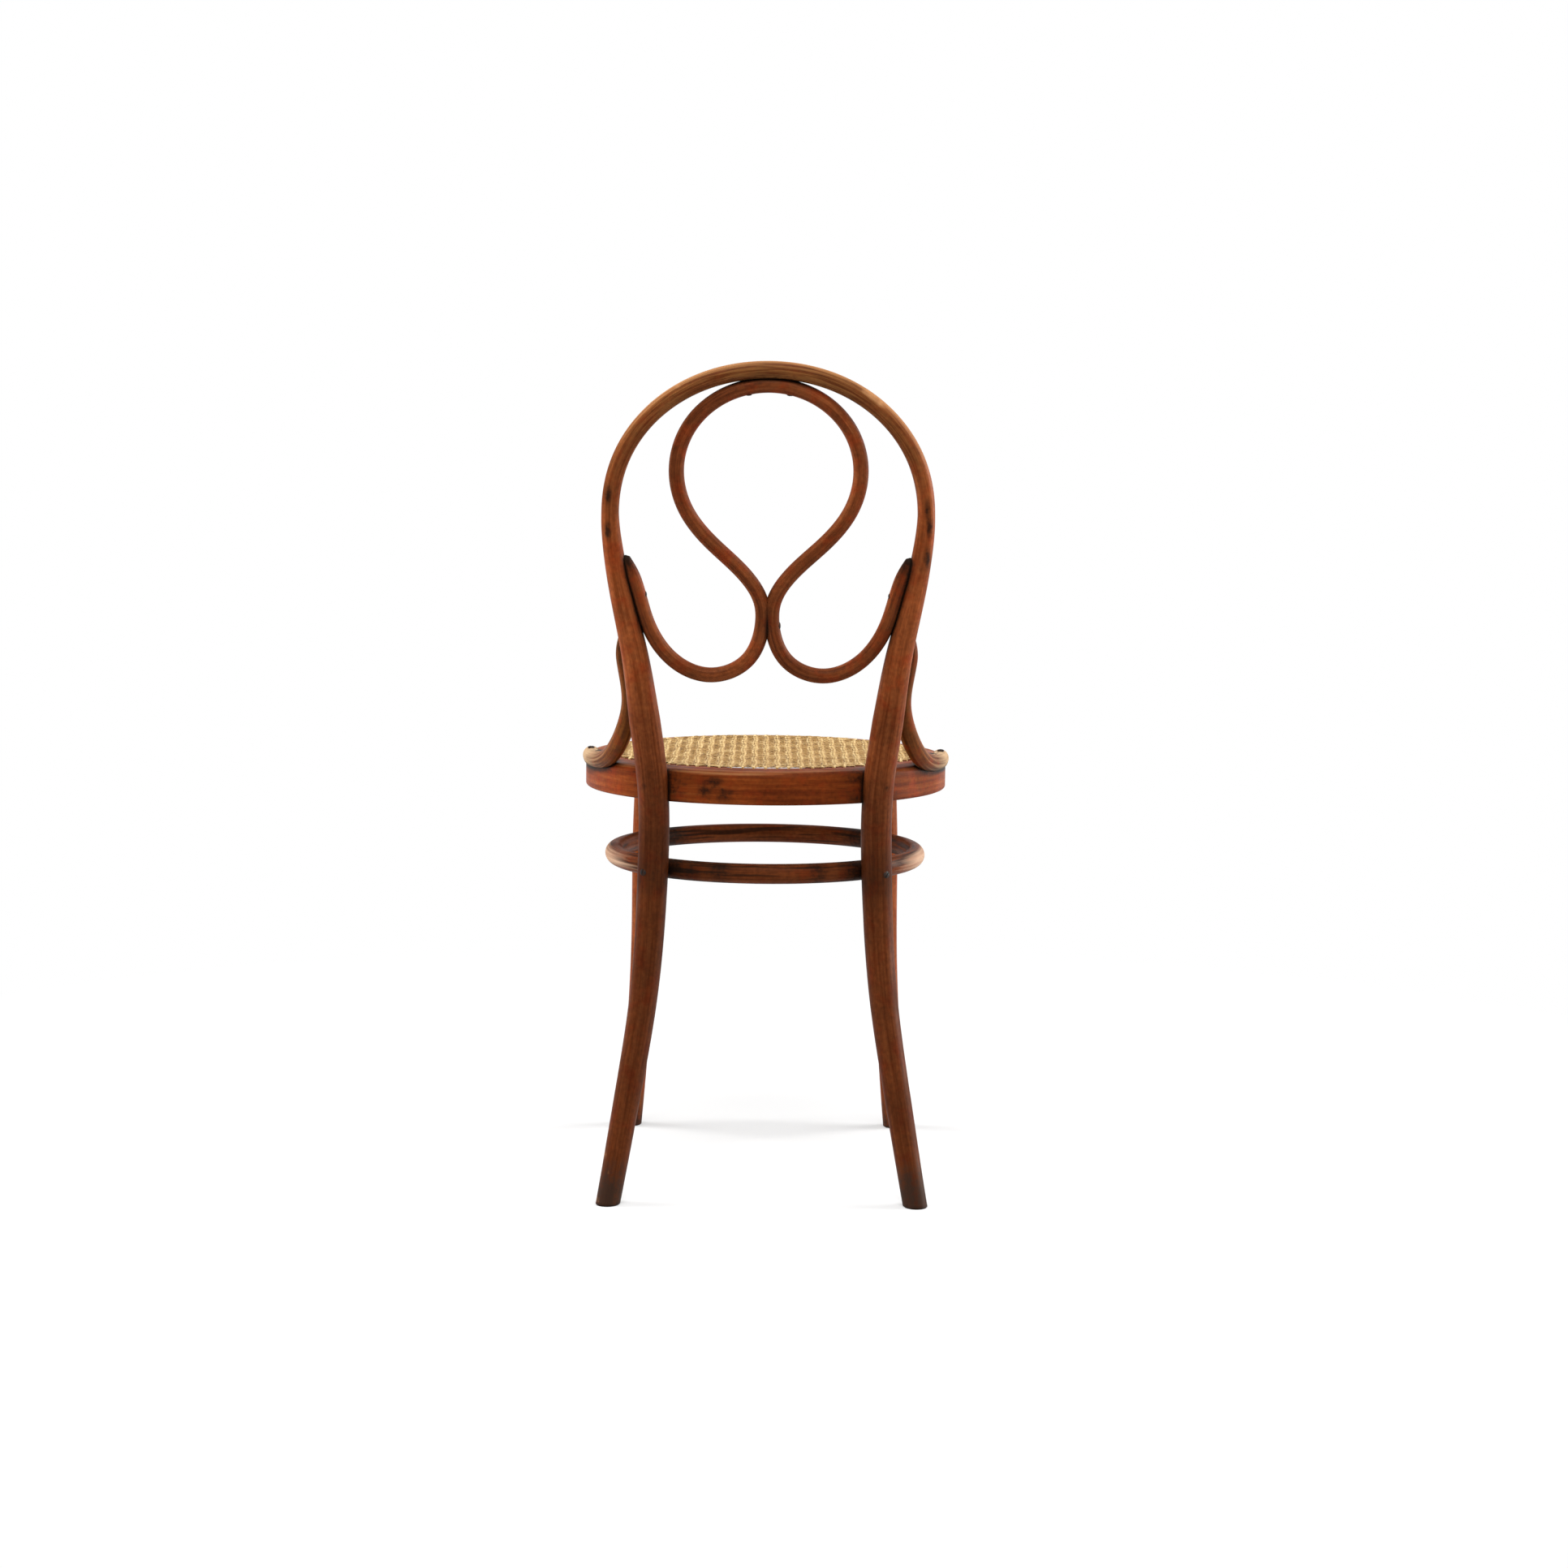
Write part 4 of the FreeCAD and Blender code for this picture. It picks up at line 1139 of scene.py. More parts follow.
@dataclass
class BackInsert:
    """One thin rod bent into a loop and two lobes, scarfed to the uprights."""

    frame: BackFrame
    diameter: float = 16.2
    bow_seat: float = 1.6
    loop_half_width: float = 97.0
    loop_top_rise: float = 91.5
    waist_offset: float = 5.4
    lobe_radius: float = 55.4
    lobe_rise: float = 180.2
    end_low: float = 187.0
    end_top: float = 256.0
    end_diameter: float = 9.0
    end_seat: float = 1.2
    end_taper: float = 30.0

    # Length over which the tip is rounded, and the share of its radius that is left at its very end
    end_nose: float = 3.0
    end_cut: float = 0.35

    # Bends of the loop's sides, as shares of the way down and of the way out
    loop_sweep: Pairs = ((0.246, 0.896), (0.46, 0.60), (0.693, 0.17), (0.848, 0.013))
    lobe_angles: tuple[float, ...] = (-48.0, -90.0, -135.0, -180.0)
    loop_angles: tuple[float, ...] = (0.0, 30.0, 60.0, 90.0)
    sides: int = 32
    step: float = 3.0

    # How far each mark of grime with painted shade, and the painted shadow line at the ends, reaches from the
    # rod's ends, waist and top, in mm, and how strong it is
    end_grime_and_shade: tuple[float, float] = (42.0, 1.0)
    waist_grime_and_shade: tuple[float, float] = (40.0, 0.4)
    top_grime_and_shade: tuple[float, float] = (95.0, 0.5)
    end_contact_shade: tuple[float, float] = (14.0, 0.7)

    # Reach of the painted black shadow line where the two strands touch, along them and across, in mm
    waist_contact_shade: tuple[float, float] = (34.0, 4.0)

    @property
    def crown_rise(self) -> float:
        """Rise of the insert's top centre line above the seat joint."""
        return JOINTS.back_rise - (JOINTS.bow_diameter + self.diameter) / 2 + self.bow_seat

    def end_point(self, rise: float, radius: float, seat: float) -> Array:
        """Place of the insert's end against the inner side of the upright.

        Args:
            rise: Rise above the seat joint, in mm.
            radius: Radius of the insert there, in mm.
            seat: How deep it is let into the upright, in mm.

        Returns:
            Centre of the insert, in mm.
        """
        centre, upright_radius = self.frame.upright_at(JOINTS.on_back(0.0, rise)[2])
        return centre - np.array([upright_radius + radius - seat, 0.0, 0.0])

    def waypoints(self) -> list[Array]:
        """Points from the right end over the loop to the left end.

        Returns:
            Points that the centre line passes through, in mm.
        """
        end_r = self.end_diameter / 2
        radius = self.diameter / 2
        middle = (self.end_low + self.end_top) / 2
        points = [
            self.end_point(self.end_top, end_r, end_r),
            self.end_point(middle, radius, 2 * self.end_seat),
            self.end_point(self.end_low, radius, self.end_seat),
        ]
        for degrees in self.lobe_angles:
            angle = math.radians(degrees)
            across = self.waist_offset + self.lobe_radius * (1 + math.cos(angle))
            points.append(JOINTS.on_back(across, self.lobe_rise + self.lobe_radius * math.sin(angle)))
        widest = self.crown_rise - self.loop_top_rise
        for down, side in reversed(self.loop_sweep):
            across = self.waist_offset + (self.loop_half_width - self.waist_offset) * side
            points.append(JOINTS.on_back(across, widest - (widest - self.lobe_rise) * down))
        for degrees in self.loop_angles:
            angle = math.radians(degrees)
            across = self.loop_half_width * math.cos(angle)
            points.append(JOINTS.on_back(across, widest + self.loop_top_rise * math.sin(angle)))
        return with_other_half(points)

    def build(self, sweep: Tree, finish: StainedBeech) -> Piece:
        """Build and dress the insert.

        Args:
            sweep: Tree that sweeps a section along guide edges.
            finish: Finish of the wood.

        Returns:
            The finished piece.
        """
        line = smooth_path(self.waypoints(), self.step)
        along = lengths_along(line)
        from_end = np.minimum(along, along[-1] - along)
        radii = swelling(from_end, self.end_diameter / 2, self.diameter / 2, self.end_taper)
        radii = radii * np.clip(self.end_cut + from_end / self.end_nose, 0, 1)
        waist = JOINTS.on_back(0.0, self.lobe_rise)
        top = JOINTS.on_back(0.0, self.crown_rise)
        tips = both_sides([line[0]])
        # Grime with painted shade where the rod meets the uprights, at the waist and under the bow, and a
        # painted shadow line at the tips
        grime_and_shade = [near(line, spots, reach) * most for spots, (reach, most) in (
            (tips, self.end_grime_and_shade), ([waist], self.waist_grime_and_shade), ([top], self.top_grime_and_shade))]
        reach, most = self.end_contact_shade
        marks = {"grime_and_shade": np.maximum.reduce(grime_and_shade), "contact_shade": near(line, tips, reach) * most}
        piece = rod("back_insert_bent", sweep, finish, Run(line, radii, marks=marks), self.sides)
        places = read_points(piece.data)
        reach, width = self.waist_contact_shade
        between = np.clip(1 - np.abs(places[:, 0]) / width, 0, 1) * near(places, [waist], reach)
        deepen(piece.data, "contact_shade", between)
        return carry(piece, Slot.WOOD, "back_insert")


@dataclass
class LegRing:
    """Rod bent to a full circle inside the four legs."""

    sides: int = 36
    steps: int = 240

    # Angles of the stains from +X, then how far grime with painted shade reaches from the joints and
    # grime from the stains, in mm, and how strong it is
    stains: tuple[float, ...] = (-117.0, -106.0, -71.0)
    joint_grime_and_shade: tuple[float, float] = (72.0, 1.6)
    stain_grime: tuple[float, float] = (26.0, 0.75)

    # Distance from the middle at which the painted sheen on the outer sides starts and over which it grows,
    # in mm, and its cosines
    sheen_start: float = 125.0
    sheen_length: float = 40.0
    wear_and_sheen_facing: tuple[float, float] = (0.1, 0.9)

    def around(self, turns: Sequence[float]) -> Array:
        """Points of the centre line at given angles from +X."""
        return np.array([polar(JOINTS.leg_ring_radius, turn, JOINTS.leg_ring_height) for turn in turns])

    def build(self, sweep: Tree, finish: StainedBeech) -> Piece:
        """Build and dress the leg ring.

        Args:
            sweep: Tree that sweeps a section along guide edges.
            finish: Finish of the wood.

        Returns:
            The finished piece.
        """
        start = math.degrees(math.atan2(JOINTS.ring_joint[1] - SEAT_AXIS_Y, JOINTS.ring_joint[0]))
        line = self.around(start + np.arange(self.steps) * 360 / self.steps)
        joints = both_sides([JOINTS.ring_joint, JOINTS.front_ring_joint])
        grime_and_shade = [np.clip(near(line, spots, reach) * most, 0, 1) for spots, (reach, most) in (
            (joints, self.joint_grime_and_shade), (self.around(self.stains), self.stain_grime))]
        # Grime with painted shade at the joints, real stains, and a painted sheen on the outer sides, where
        # the side lamps fall
        marks = {
            "grime_and_shade": np.maximum(*grime_and_shade),
            "wear_and_sheen": np.clip((np.abs(line[:, 0]) - self.sheen_start) / self.sheen_length, 0, 1),
        }
        run = Run(line, np.full(len(line), JOINTS.leg_ring_diameter / 2), closed=True, marks=marks)
        piece = rod("leg_ring_bent", sweep, finish, run, self.sides)
        outward = read_points(piece.data) * np.array([1.0, 0.0, 0.0])
        side_sheen = facing(piece.data, outward, *self.wear_and_sheen_facing) * read_mark(piece.data, "wear_and_sheen")
        write_mark(piece.data, "wear_and_sheen", side_sheen)
        return carry(piece, Slot.WOOD, "leg_ring")


@dataclass
class FrontLegs:
    """Two turned and bent front legs, each with a round tenon in the seat ring."""

    foot_diameter: float = 26.5
    foot_reach: float = 219.0
    foot_overrun: float = 8.0
    foot_round: float = 1.2
    soiled: float = 60.0
    tenon_diameter: float = 18.0
    tenon_length: float = 24.0
    tenon_inset: float = 13.5

    # Rise between the leg's full size and the tenon's, next to nothing for a flat shoulder
    shoulder: float = 0.01

    # Bends of the leg, as shares of the way down and of the way out
    flare: Pairs = ((0.38, 0.12), (0.70, 0.50))
    sides: int = 40
    step: float = 4.0

    def line(self) -> Array:
        """Centre line of the right leg from its foot to the seat ring.

        Returns:
            Points of the line, in mm.
        """
        angle = JOINTS.front_leg_angle
        joint = JOINTS.front_ring_joint
        joint_reach = math.hypot(joint[0], joint[1] - SEAT_AXIS_Y)
        points = [polar(self.foot_reach, angle)]
        for down, side in reversed(self.flare):
            reach = joint_reach + (self.foot_reach - joint_reach) * side
            points.append(polar(reach, angle, JOINTS.leg_ring_height * (1 - down)))
        points.append(joint)
        underside = JOINTS.seat_height - JOINTS.seat_thickness
        points.append(polar(JOINTS.seat_radius - self.tenon_inset, angle, underside))
        return smooth_path(points, self.step)

    def build(self, sweep: Tree, finish: StainedBeech, right: bool) -> Piece:
        """Build and dress one front leg.

        Args:
            sweep: Tree that sweeps a section along guide edges.
            finish: Finish of the wood.
            right: True for the sitter's right leg.

        Returns:
            The finished piece.
        """
        line = self.line()
        down = (line[0] - line[1]) / np.linalg.norm(line[0] - line[1]) * self.foot_overrun
        radii = np.interp(line[:, 2], (0.0, JOINTS.leg_ring_height),
                          (self.foot_diameter / 2, JOINTS.front_leg_diameter / 2))
        tenon = [line[-1] + (0, 0, rise) for rise in (self.shoulder, self.tenon_length)]
        line = np.concatenate([[line[0] + down], line, tenon])
        radii = np.concatenate([[self.foot_diameter / 2], radii, [self.tenon_diameter / 2] * 2])
        marks = {"soil": np.clip(1 - line[:, 2] / self.soiled, 0, 1)}
        run = Run(line if right else other_side(line), radii, marks=marks)
        node = "front_leg_right" if right else "front_leg_left"
        piece = rod(node + "_turned", sweep, finish, run, self.sides, self.foot_round)
        return carry(piece, Slot.WOOD, node)


@dataclass
class HipBraces:
    """Bent rods from the uprights down to the top of the seat ring; angles are in degrees."""

    frame: BackFrame
    diameter: float = 20.0
    tip_diameter: float = 7.0
    tip_rise: float = 148.6
    full_rise: float = 116.6
    leave_rise: float = 75.0
    side_angle: float = 32.0
    seat: float = 2.0

    # Step from where the brace leaves the upright to its knee
    knee: tuple[float, float, float] = (7.0, 19.0, -35.0)
    landing_angle: float = 35.0
    landing_out: float = 3.5
    landing_rise: float = 7.5
    foot_angle: float = 17.5
    end_angle: float = -1.5
    foot_inset: float = 5.5
    foot_sink: float = 4.5

    # Length over which the foot's end is rounded, and the square of the share of its radius left there
    nose: float = 8.0
    nose_least: float = 0.04
    sides: int = 32
    step: float = 3.0

    # How far grime with painted shade reaches from the tip, in mm, and how strong it is; the pale mark of
    # wear with painted highlight fades away from the foot
    tip_grime_and_shade: tuple[float, float] = (40.0, 0.5)
    pale_foot_length: float = 135.0
    pale_foot_start: float = 1.3
    pale_foot_power: float = 1.5

    def beside(self, rise: float, radius: float) -> Array:
        """Place of the brace where it lies against the upright.

        Args:
            rise: Rise above the seat, in mm.
            radius: Radius of the brace there, in mm.

        Returns:
            Centre of the brace, in mm.
        """
        centre, upright_radius = self.frame.upright_at(JOINTS.seat_height + rise)
        angle = math.radians(90 - self.side_angle)
        side = np.array([math.cos(angle), math.sin(angle), 0.0])
        return centre + side * (upright_radius + radius - self.seat)

    def line(self) -> Array:
        """Centre line of the right brace from its tip to its foot.

        Returns:
            Points of the line, in mm.
        """
        leaving = self.beside(self.leave_rise, self.diameter / 2)
        foot_height = JOINTS.seat_height - self.foot_sink
        reach = JOINTS.seat_radius - self.foot_inset
        landing_height = JOINTS.seat_height + self.landing_rise
        return smooth_path([
            self.beside(self.tip_rise, self.tip_diameter / 2),
            self.beside(self.full_rise, self.diameter / 2),
            leaving,
            leaving + np.array(self.knee),
            polar(JOINTS.seat_radius + self.landing_out, -self.landing_angle, landing_height),
            polar(reach, -self.foot_angle, foot_height),
            polar(reach, -self.end_angle, foot_height),
        ], self.step)

    def build(self, sweep: Tree, finish: StainedBeech, right: bool) -> Piece:
        """Build and dress one hip brace.

        Args:
            sweep: Tree that sweeps a section along guide edges.
            finish: Finish of the wood.
            right: True for the sitter's right brace.

        Returns:
            The finished piece.
        """
        line = self.line()
        along = lengths_along(line)
        to_end = along[-1] - along
        full = self.diameter / 2
        radii = swelling(along, self.tip_diameter / 2, full, self.tip_rise - self.full_rise)
        rounded = np.sqrt(np.clip(1 - np.clip(1 - to_end / self.nose, 0, 1) ** 2, self.nose_least, 1))
        if not right:
            line = other_side(line)
        # Grime with painted shade at the tip against the upright, and a pale mark near the foot, partly wear
        # and partly a painted highlight
        reach, most = self.tip_grime_and_shade
        marks = {
            "grime_and_shade": near(line, [line[0]], reach) * most,
            "wear_and_sheen": np.clip(self.pale_foot_start - to_end / self.pale_foot_length, 0, 1) ** self.pale_foot_power,
        }
        run = Run(line, np.minimum(radii, full * rounded), marks=marks)
        node = "hip_brace_right" if right else "hip_brace_left"
        piece = rod(node + "_bent", sweep, finish, run, self.sides)
        return carry(piece, Slot.WOOD, node)


@dataclass
class SeatRing:
    """Flat strip bent to a circle, with the cane's holes near its inner edge."""

    top_round: float = 8.0
    edge_round: float = 2.5

    # How far the outer edge and the middle of the top lie below its inner side
    fall: float = 1.5
    crown: float = 0.12
    holes: int = 88
    hole_diameter: float = 4.6
    hole_inset: float = 5.0
    hole_band: float = 3.2
    columns: int = 4
    round_steps: int = 6
    wall_rows: int = 5
    sharp_angle: float = 50.0

    # Places of spilled stain, then how far each mark reaches, in mm, and how strong it is: spills, grime with
    # painted shade at the joints, and darkening along the inner edge
    spills: tuple[tuple[float, float, float], ...] = (
        (-66.0, -156.0, 447.0), (-54.0, -160.0, 455.0), (-45.0, -163.0, 443.0))
    spill_grime: tuple[float, float] = (17.0, 0.9)
    joint_grime_and_shade: tuple[float, float] = (66.0, 0.95)
    inner_edge_dark: tuple[float, float] = (9.0, 0.5)

    # Wear with a painted highlight along the top edge: how far it keeps from a joint and its most, then where
    # it starts below the top and inside the outer wall, and over how much it grows
    edge_wear_and_sheen: tuple[float, float] = (60.0, 0.5)
    edge_pale_drop: tuple[float, float] = (11.0, 9.0)
    edge_pale_inset: tuple[float, float] = (16.0, 8.0)

    @property
    def hole_reach(self) -> float:
        """Distance of the caning holes from the seat's axis."""
        return JOINTS.seat_radius - JOINTS.rim_width + self.hole_inset

    def rounded(self, radius: float, height: float, size: float, start: float) -> list[tuple[float, float]]:
        """Round one corner of the section.

        Args:
            radius: Distance of the round's centre from the seat's axis, in mm.
            height: Height of the round's centre, in mm.
            size: Radius of the round, in mm.
            start: Angle at which the quarter turn starts, in degrees.

        Returns:
            Points of the round as (radius, height), in mm.
        """
        angles = [math.radians(start + 90 * i / self.round_steps) for i in range(self.round_steps + 1)]
        return [(radius + size * math.cos(angle), height + size * math.sin(angle)) for angle in angles]

    def outline(self) -> tuple[list[tuple[float, float]], tuple[int, int]]:
        """Section of the ring as (radius, height), anticlockwise from the inner wall's foot.

        Returns:
            The section's points, and where in it the bottom and the top band of holes start.
        """
        inner = JOINTS.seat_radius - JOINTS.rim_width
        bottom = JOINTS.seat_height - JOINTS.seat_thickness
        top = JOINTS.seat_height
        outer = JOINTS.seat_radius
        edge = self.edge_round
        inner_edge = self.hole_inset - self.hole_band
        shoulder = top - self.fall - self.top_round
        band = self.hole_reach + self.hole_band
        points = self.rounded(inner + inner_edge, bottom + inner_edge, inner_edge, 180)
        low_band = len(points) - 1
        points += [(band, bottom), *self.rounded(outer - edge, bottom + edge, edge, 270)]
        wall = np.linspace(bottom + edge, shoulder, self.wall_rows + 2)[1:-1]
        points += [(outer, float(height)) for height in wall]
        points += self.rounded(outer - self.top_round, shoulder, self.top_round, 0)
        points += [(outer - JOINTS.rim_width / 2, top - self.crown), (band, top)]
        high_band = len(points) - 1
        points += self.rounded(inner + inner_edge, top - inner_edge, inner_edge, 90)
        return points, (low_band, high_band)

    def build(self, finish: StainedBeech) -> Piece:
        """Build and dress the seat ring.

        Args:
            finish: Finish of the wood.

        Returns:
            The finished piece.
        """
        outline, bands = self.outline()
        count = self.holes * self.columns
        turns = [90 + 360 * (column / self.columns - 0.5) / self.holes for column in range(count)]
        points = [polar(radius, turn, height) for radius, height in outline for turn in turns]
        loops = [list(range(row * count, (row + 1) * count)) for row in range(len(outline))]
        faces = []
        for row, loop in enumerate(loops):
            if row not in bands:
                faces += self.between_loops(loop, loops[(row + 1) % len(loops)])
        self.holed_bands(outline, bands, points, faces)
        mesh = bpy.data.meshes.new("seat_ring_bent")
        mesh.from_pydata((np.array(points) * MM).tolist(), [], faces)
        shape = bmesh.new()
        shape.from_mesh(mesh)
        closed_shape(mesh, shape)
        self.mark(mesh)
        sharpen(mesh, self.sharp_angle)
        mesh.materials.append(finish.material())
        return carry(link_object("seat_ring_bent", mesh), Slot.WOOD, "seat_ring")

    @staticmethod
    def between_loops(low: Sequence[int], high: Sequence[int]) -> list[list[int]]:
        """Faces between two closed loops of as many points."""
        after = [*range(1, len(low)), 0]
        return [[low[i], low[j], high[j], high[i]] for i, j in enumerate(after)]

    def holed_bands(self, outline: Sequence[tuple[float, float]], bands: tuple[int, int], points: list[Array],
                    faces: list[list[int]]) -> None:
        """Fill the two flat bands round the caning holes, and line the holes.

        Args:
            outline: Section of the ring.
            bands: Where in the section the bottom and the top band start.
            points: Points of the ring, to which those of the holes are added.
            faces: Faces of the ring, to which those of the bands and holes are added.
        """
        count = self.holes * self.columns
        rims: list[list[list[int]]] = []
        for band in bands:
            height = outline[band][1]
            middle = len(points)
            between = [90 + 360 * (hole - 0.5) / self.holes for hole in range(self.holes)]
            points += [polar(self.hole_reach, turn, height) for turn in between]
            rims.append([])
            for hole in range(self.holes):
                columns = [(hole * self.columns + i) % count for i in range(self.columns + 1)]
                loop = [band * count + column for column in columns] + [middle + (hole + 1) % self.holes]
                loop += [(band + 1) * count + column for column in reversed(columns)] + [middle + hole]
                centre = polar(self.hole_reach, 90 + 360 * hole / self.holes, height)
                rim = list(range(len(points), len(points) + len(loop)))
                outward = [points[corner] - centre for corner in loop]
                points += [centre + way / np.linalg.norm(way) * self.hole_diameter / 2 for way in outward]
                rims[-1].append(rim)
                faces += self.between_loops(loop, rim)
        for low, high in zip(*rims):
            upper = np.array([points[i][:2] for i in high])
            nearest = [int(np.argmin(np.linalg.norm(upper - points[i][:2], axis=1))) for i in low]
            faces += self.between_loops(low, [high[i] for i in nearest])

    def mark(self, mesh: Mesh) -> None:
        """Write what the wood's finish reads: the unbent place on corners, the rest on points.

        Args:
            mesh: Mesh of the ring.
        """
        places = read_points(mesh)
        around = np.arctan2(places[:, 0], -(places[:, 1] - SEAT_AXIS_Y))
        reach = np.hypot(places[:, 0], places[:, 1] - SEAT_AXIS_Y)
        corners = np.zeros(len(mesh.loops), int)
        mesh.loops.foreach_get("vertex_index", corners)
        turn = around[corners]
        for face in mesh.polygons:
            part = slice(face.loop_start, face.loop_start + face.loop_total)
            if turn[part].max() - turn[part].min() > math.pi:
                turn[part] = np.where(turn[part] < 0, turn[part] + 2 * math.pi, turn[part])
        unbent = np.stack([reach[corners], places[corners, 2], turn * JOINTS.seat_radius], axis=1) * MM
        attribute = mesh.attributes.new("unbent", "FLOAT_VECTOR", "CORNER")
        attribute.data.foreach_set("vector", unbent.astype(np.float32).ravel())
        level = np.array([1.0, 1.0, 0.0])
        spots = [spot * level for spot in both_sides([JOINTS.seat_joint])]
        flat = places * level
        drop, drop_length = self.edge_pale_drop
        inset, inset_length = self.edge_pale_inset
        top_edge = np.clip((places[:, 2] - JOINTS.seat_height + drop) / drop_length, 0, 1)
        top_edge *= np.clip((reach - JOINTS.seat_radius + inset) / inset_length, 0, 1)
        # Darker along the inner edge, grime with painted shade at the joints, and the spills
        inner_reach, inner_most = self.inner_edge_dark
        inner = np.clip(1 - (reach - JOINTS.seat_radius + JOINTS.rim_width) / inner_reach, 0, 1) * inner_most
        grime_and_shade = [near(where, marked, far) * most for where, marked, (far, most) in (
            (flat, spots, self.joint_grime_and_shade), (places, self.spills, self.spill_grime))]
        write_mark(mesh, "grime_and_shade", np.maximum.reduce([*grime_and_shade, inner]))
        # Wear with a painted highlight along the top edge, away from the joints
        far, most = self.edge_wear_and_sheen
        write_mark(mesh, "wear_and_sheen", top_edge * most * (1 - near(flat, spots, far)))


@dataclass(frozen=True)
class Layer:
    """Strands of one direction, given in degrees from +X.

    They rise and fall by a share of the lift, and a lower tone is a browner strand.
    """

    name: str
    direction: float
    paired: bool
    rise: float
    tone: float

    @property
    def forward(self) -> Array:
        """Direction of the strands, as x and y."""
        return np.array([math.cos(math.radians(self.direction)), math.sin(math.radians(self.direction))])


@dataclass
class CaneSeat:
    """Hand-woven six-way cane: pairs both ways and single strands on both diagonals."""

    ring: SeatRing

    # The strands that the sitter faces along are the palest, the crosswise and diagonal ones browner
    layers: tuple[Layer, ...] = (
        Layer("cane_lengthwise_pairs", 90.0, True, -1.2, 0.74),
        Layer("cane_crosswise_pairs", 0.0, True, 0.6, 0.42),
        Layer("cane_diagonal_rising", 45.0, False, -1.5, 0.34),
        Layer("cane_diagonal_falling", 135.0, False, 1.5, 0.38),
    )
    strand_width: float = 2.5
    strand_thickness: float = 0.75
    strand_sides: int = 6
    sharp_angle: float = 60.0
    pair_gap: float = 2.8

    # Steps between the points of a strand, and the room that the outermost strands need
    pair_step: float = 1.07
    single_step: float = 2.2
    edge_gap: float = 5.0

    # Height of the weave and of its middle over the ring, and how strands settle towards their holes
    lift: float = 0.45
    clearance: float = 0.15
    level_end: float = 12.0
    bend_in: float = 26.0
    bent_share: float = 0.92
    sag: float = 2.0
    wander: float = 0.8
    wander_length: float = 85.0
    tone_spread: float = 0.07
    seed: int = 11

    # How far the last two points of a strand lie outward and down, in mm
    dives: Pairs = ((0.9, 1.0), (1.2, 7.0))

    @property
    def pitch(self) -> float:
        """Spacing of the pairs, that of the holes along the ring."""
        return 2 * math.pi * self.ring.hole_reach / self.ring.holes

    def hole_near(self, point: Array) -> Array:
        """Find the caning hole nearest to a point.

        Args:
            point: Point on the ring, as x and y about the seat's axis, in mm.

        Returns:
            Centre of the hole, likewise.
        """
        step = 2 * math.pi / self.ring.holes
        angle = math.atan2(point[1], point[0])
        turn = math.pi / 2 + round((angle - math.pi / 2) / step) * step
        return self.ring.hole_reach * np.array([math.cos(turn), math.sin(turn)])

    def weave(self, layer: Layer, sign: int, flat: Array) -> Array:
        """Rise of a strand over and under the others.

        Args:
            layer: Direction that the strand belongs to.
            sign: 1 or -1, for the two strands of a pair.
            flat: Points as x and y about the seat's axis, in mm.

        Returns:
            Rise of each point above the middle of the weave, in mm.
        """
        if not layer.paired:
            return layer.rise * self.lift * np.cos(2 * math.pi * flat[:, 0] / self.pitch)
        forward = layer.forward
        along = flat[:, 0] * forward[0] + flat[:, 1] * forward[1]
        place = (along / self.pitch - np.round(along / self.pitch)) * self.pitch
        wave = np.where(np.abs(place) < self.pair_gap, np.sin(math.pi * place / self.pair_gap), 0.0)
        return sign * layer.rise * self.lift * wave

    def strand(self, layer: Layer, offset: float, shift: float, sign: int, tone: float,
               turn: float) -> Run | None:
        """One strand across the seat, down into a hole at each end.

        Args:
            layer: Direction that the strand belongs to.
            offset: Distance of the strand's pair from the seat's axis, in mm.
            shift: Distance of the strand from the middle of its pair, in mm.
            sign: 1 or -1, for the two strands of a pair.
            tone: Lightness of the strand.
            turn: Where in its slow sideways wander the strand starts, as a share of one wave.

        Returns:
            The strand, or None where there is no room for one.
        """
        reach = self.ring.hole_reach
        if abs(offset) > reach - self.edge_gap:
            return None
        forward = layer.forward
        side = np.array([-forward[1], forward[0]])
        half = math.sqrt(reach ** 2 - offset ** 2)
        ends = [self.hole_near(side * offset + forward * way * half) for way in (-1, 1)]
        stretch = [float(end @ forward) for end in ends]
        step = self.pair_step if layer.paired else self.single_step
        along = np.linspace(stretch[0], stretch[1], round((stretch[1] - stretch[0]) / step) + 1)
        sway = self.wander * np.sin(2 * math.pi * (along / self.wander_length + turn))
        flat = forward * along[:, None] + side * (offset + shift + sway[:, None])
        for end, place in zip(ends, stretch):
            near_end = eased(np.clip(1 - np.abs(along - place) / self.bend_in, 0, 1))
            gap = (end - (forward * place + side * (offset + shift))) * self.bent_share
            flat = flat + near_end[:, None] * gap
        to_end = np.minimum(along - stretch[0], stretch[1] - along)
        rise = self.weave(layer, sign, flat) * np.clip(to_end / self.level_end, 0, 1)
        middle = np.clip(1 - (np.hypot(flat[:, 0], flat[:, 1]) / reach) ** 2, 0, 1)
        base = JOINTS.seat_height + self.strand_thickness / 2 + self.lift + self.clearance
        line = np.column_stack([flat[:, 0], flat[:, 1] + SEAT_AXIS_Y, base + rise - self.sag * middle])
        tips = []
        for end, neighbour in ((line[0], line[1]), (line[-1], line[-2])):
            outward = (end - neighbour) * np.array([1.0, 1.0, 0.0])
            outward /= np.linalg.norm(outward)
            tips.append([end + outward * out - (0, 0, down) for out, down in self.dives])
        line = np.concatenate([tips[0][::-1], line, tips[1]])

        # The section's own sizes are in metres, so that the thickness is 1 in metres too
        return Run(line, np.full(len(line), 1.0 / MM), marks={"tone": np.full(len(line), tone)})

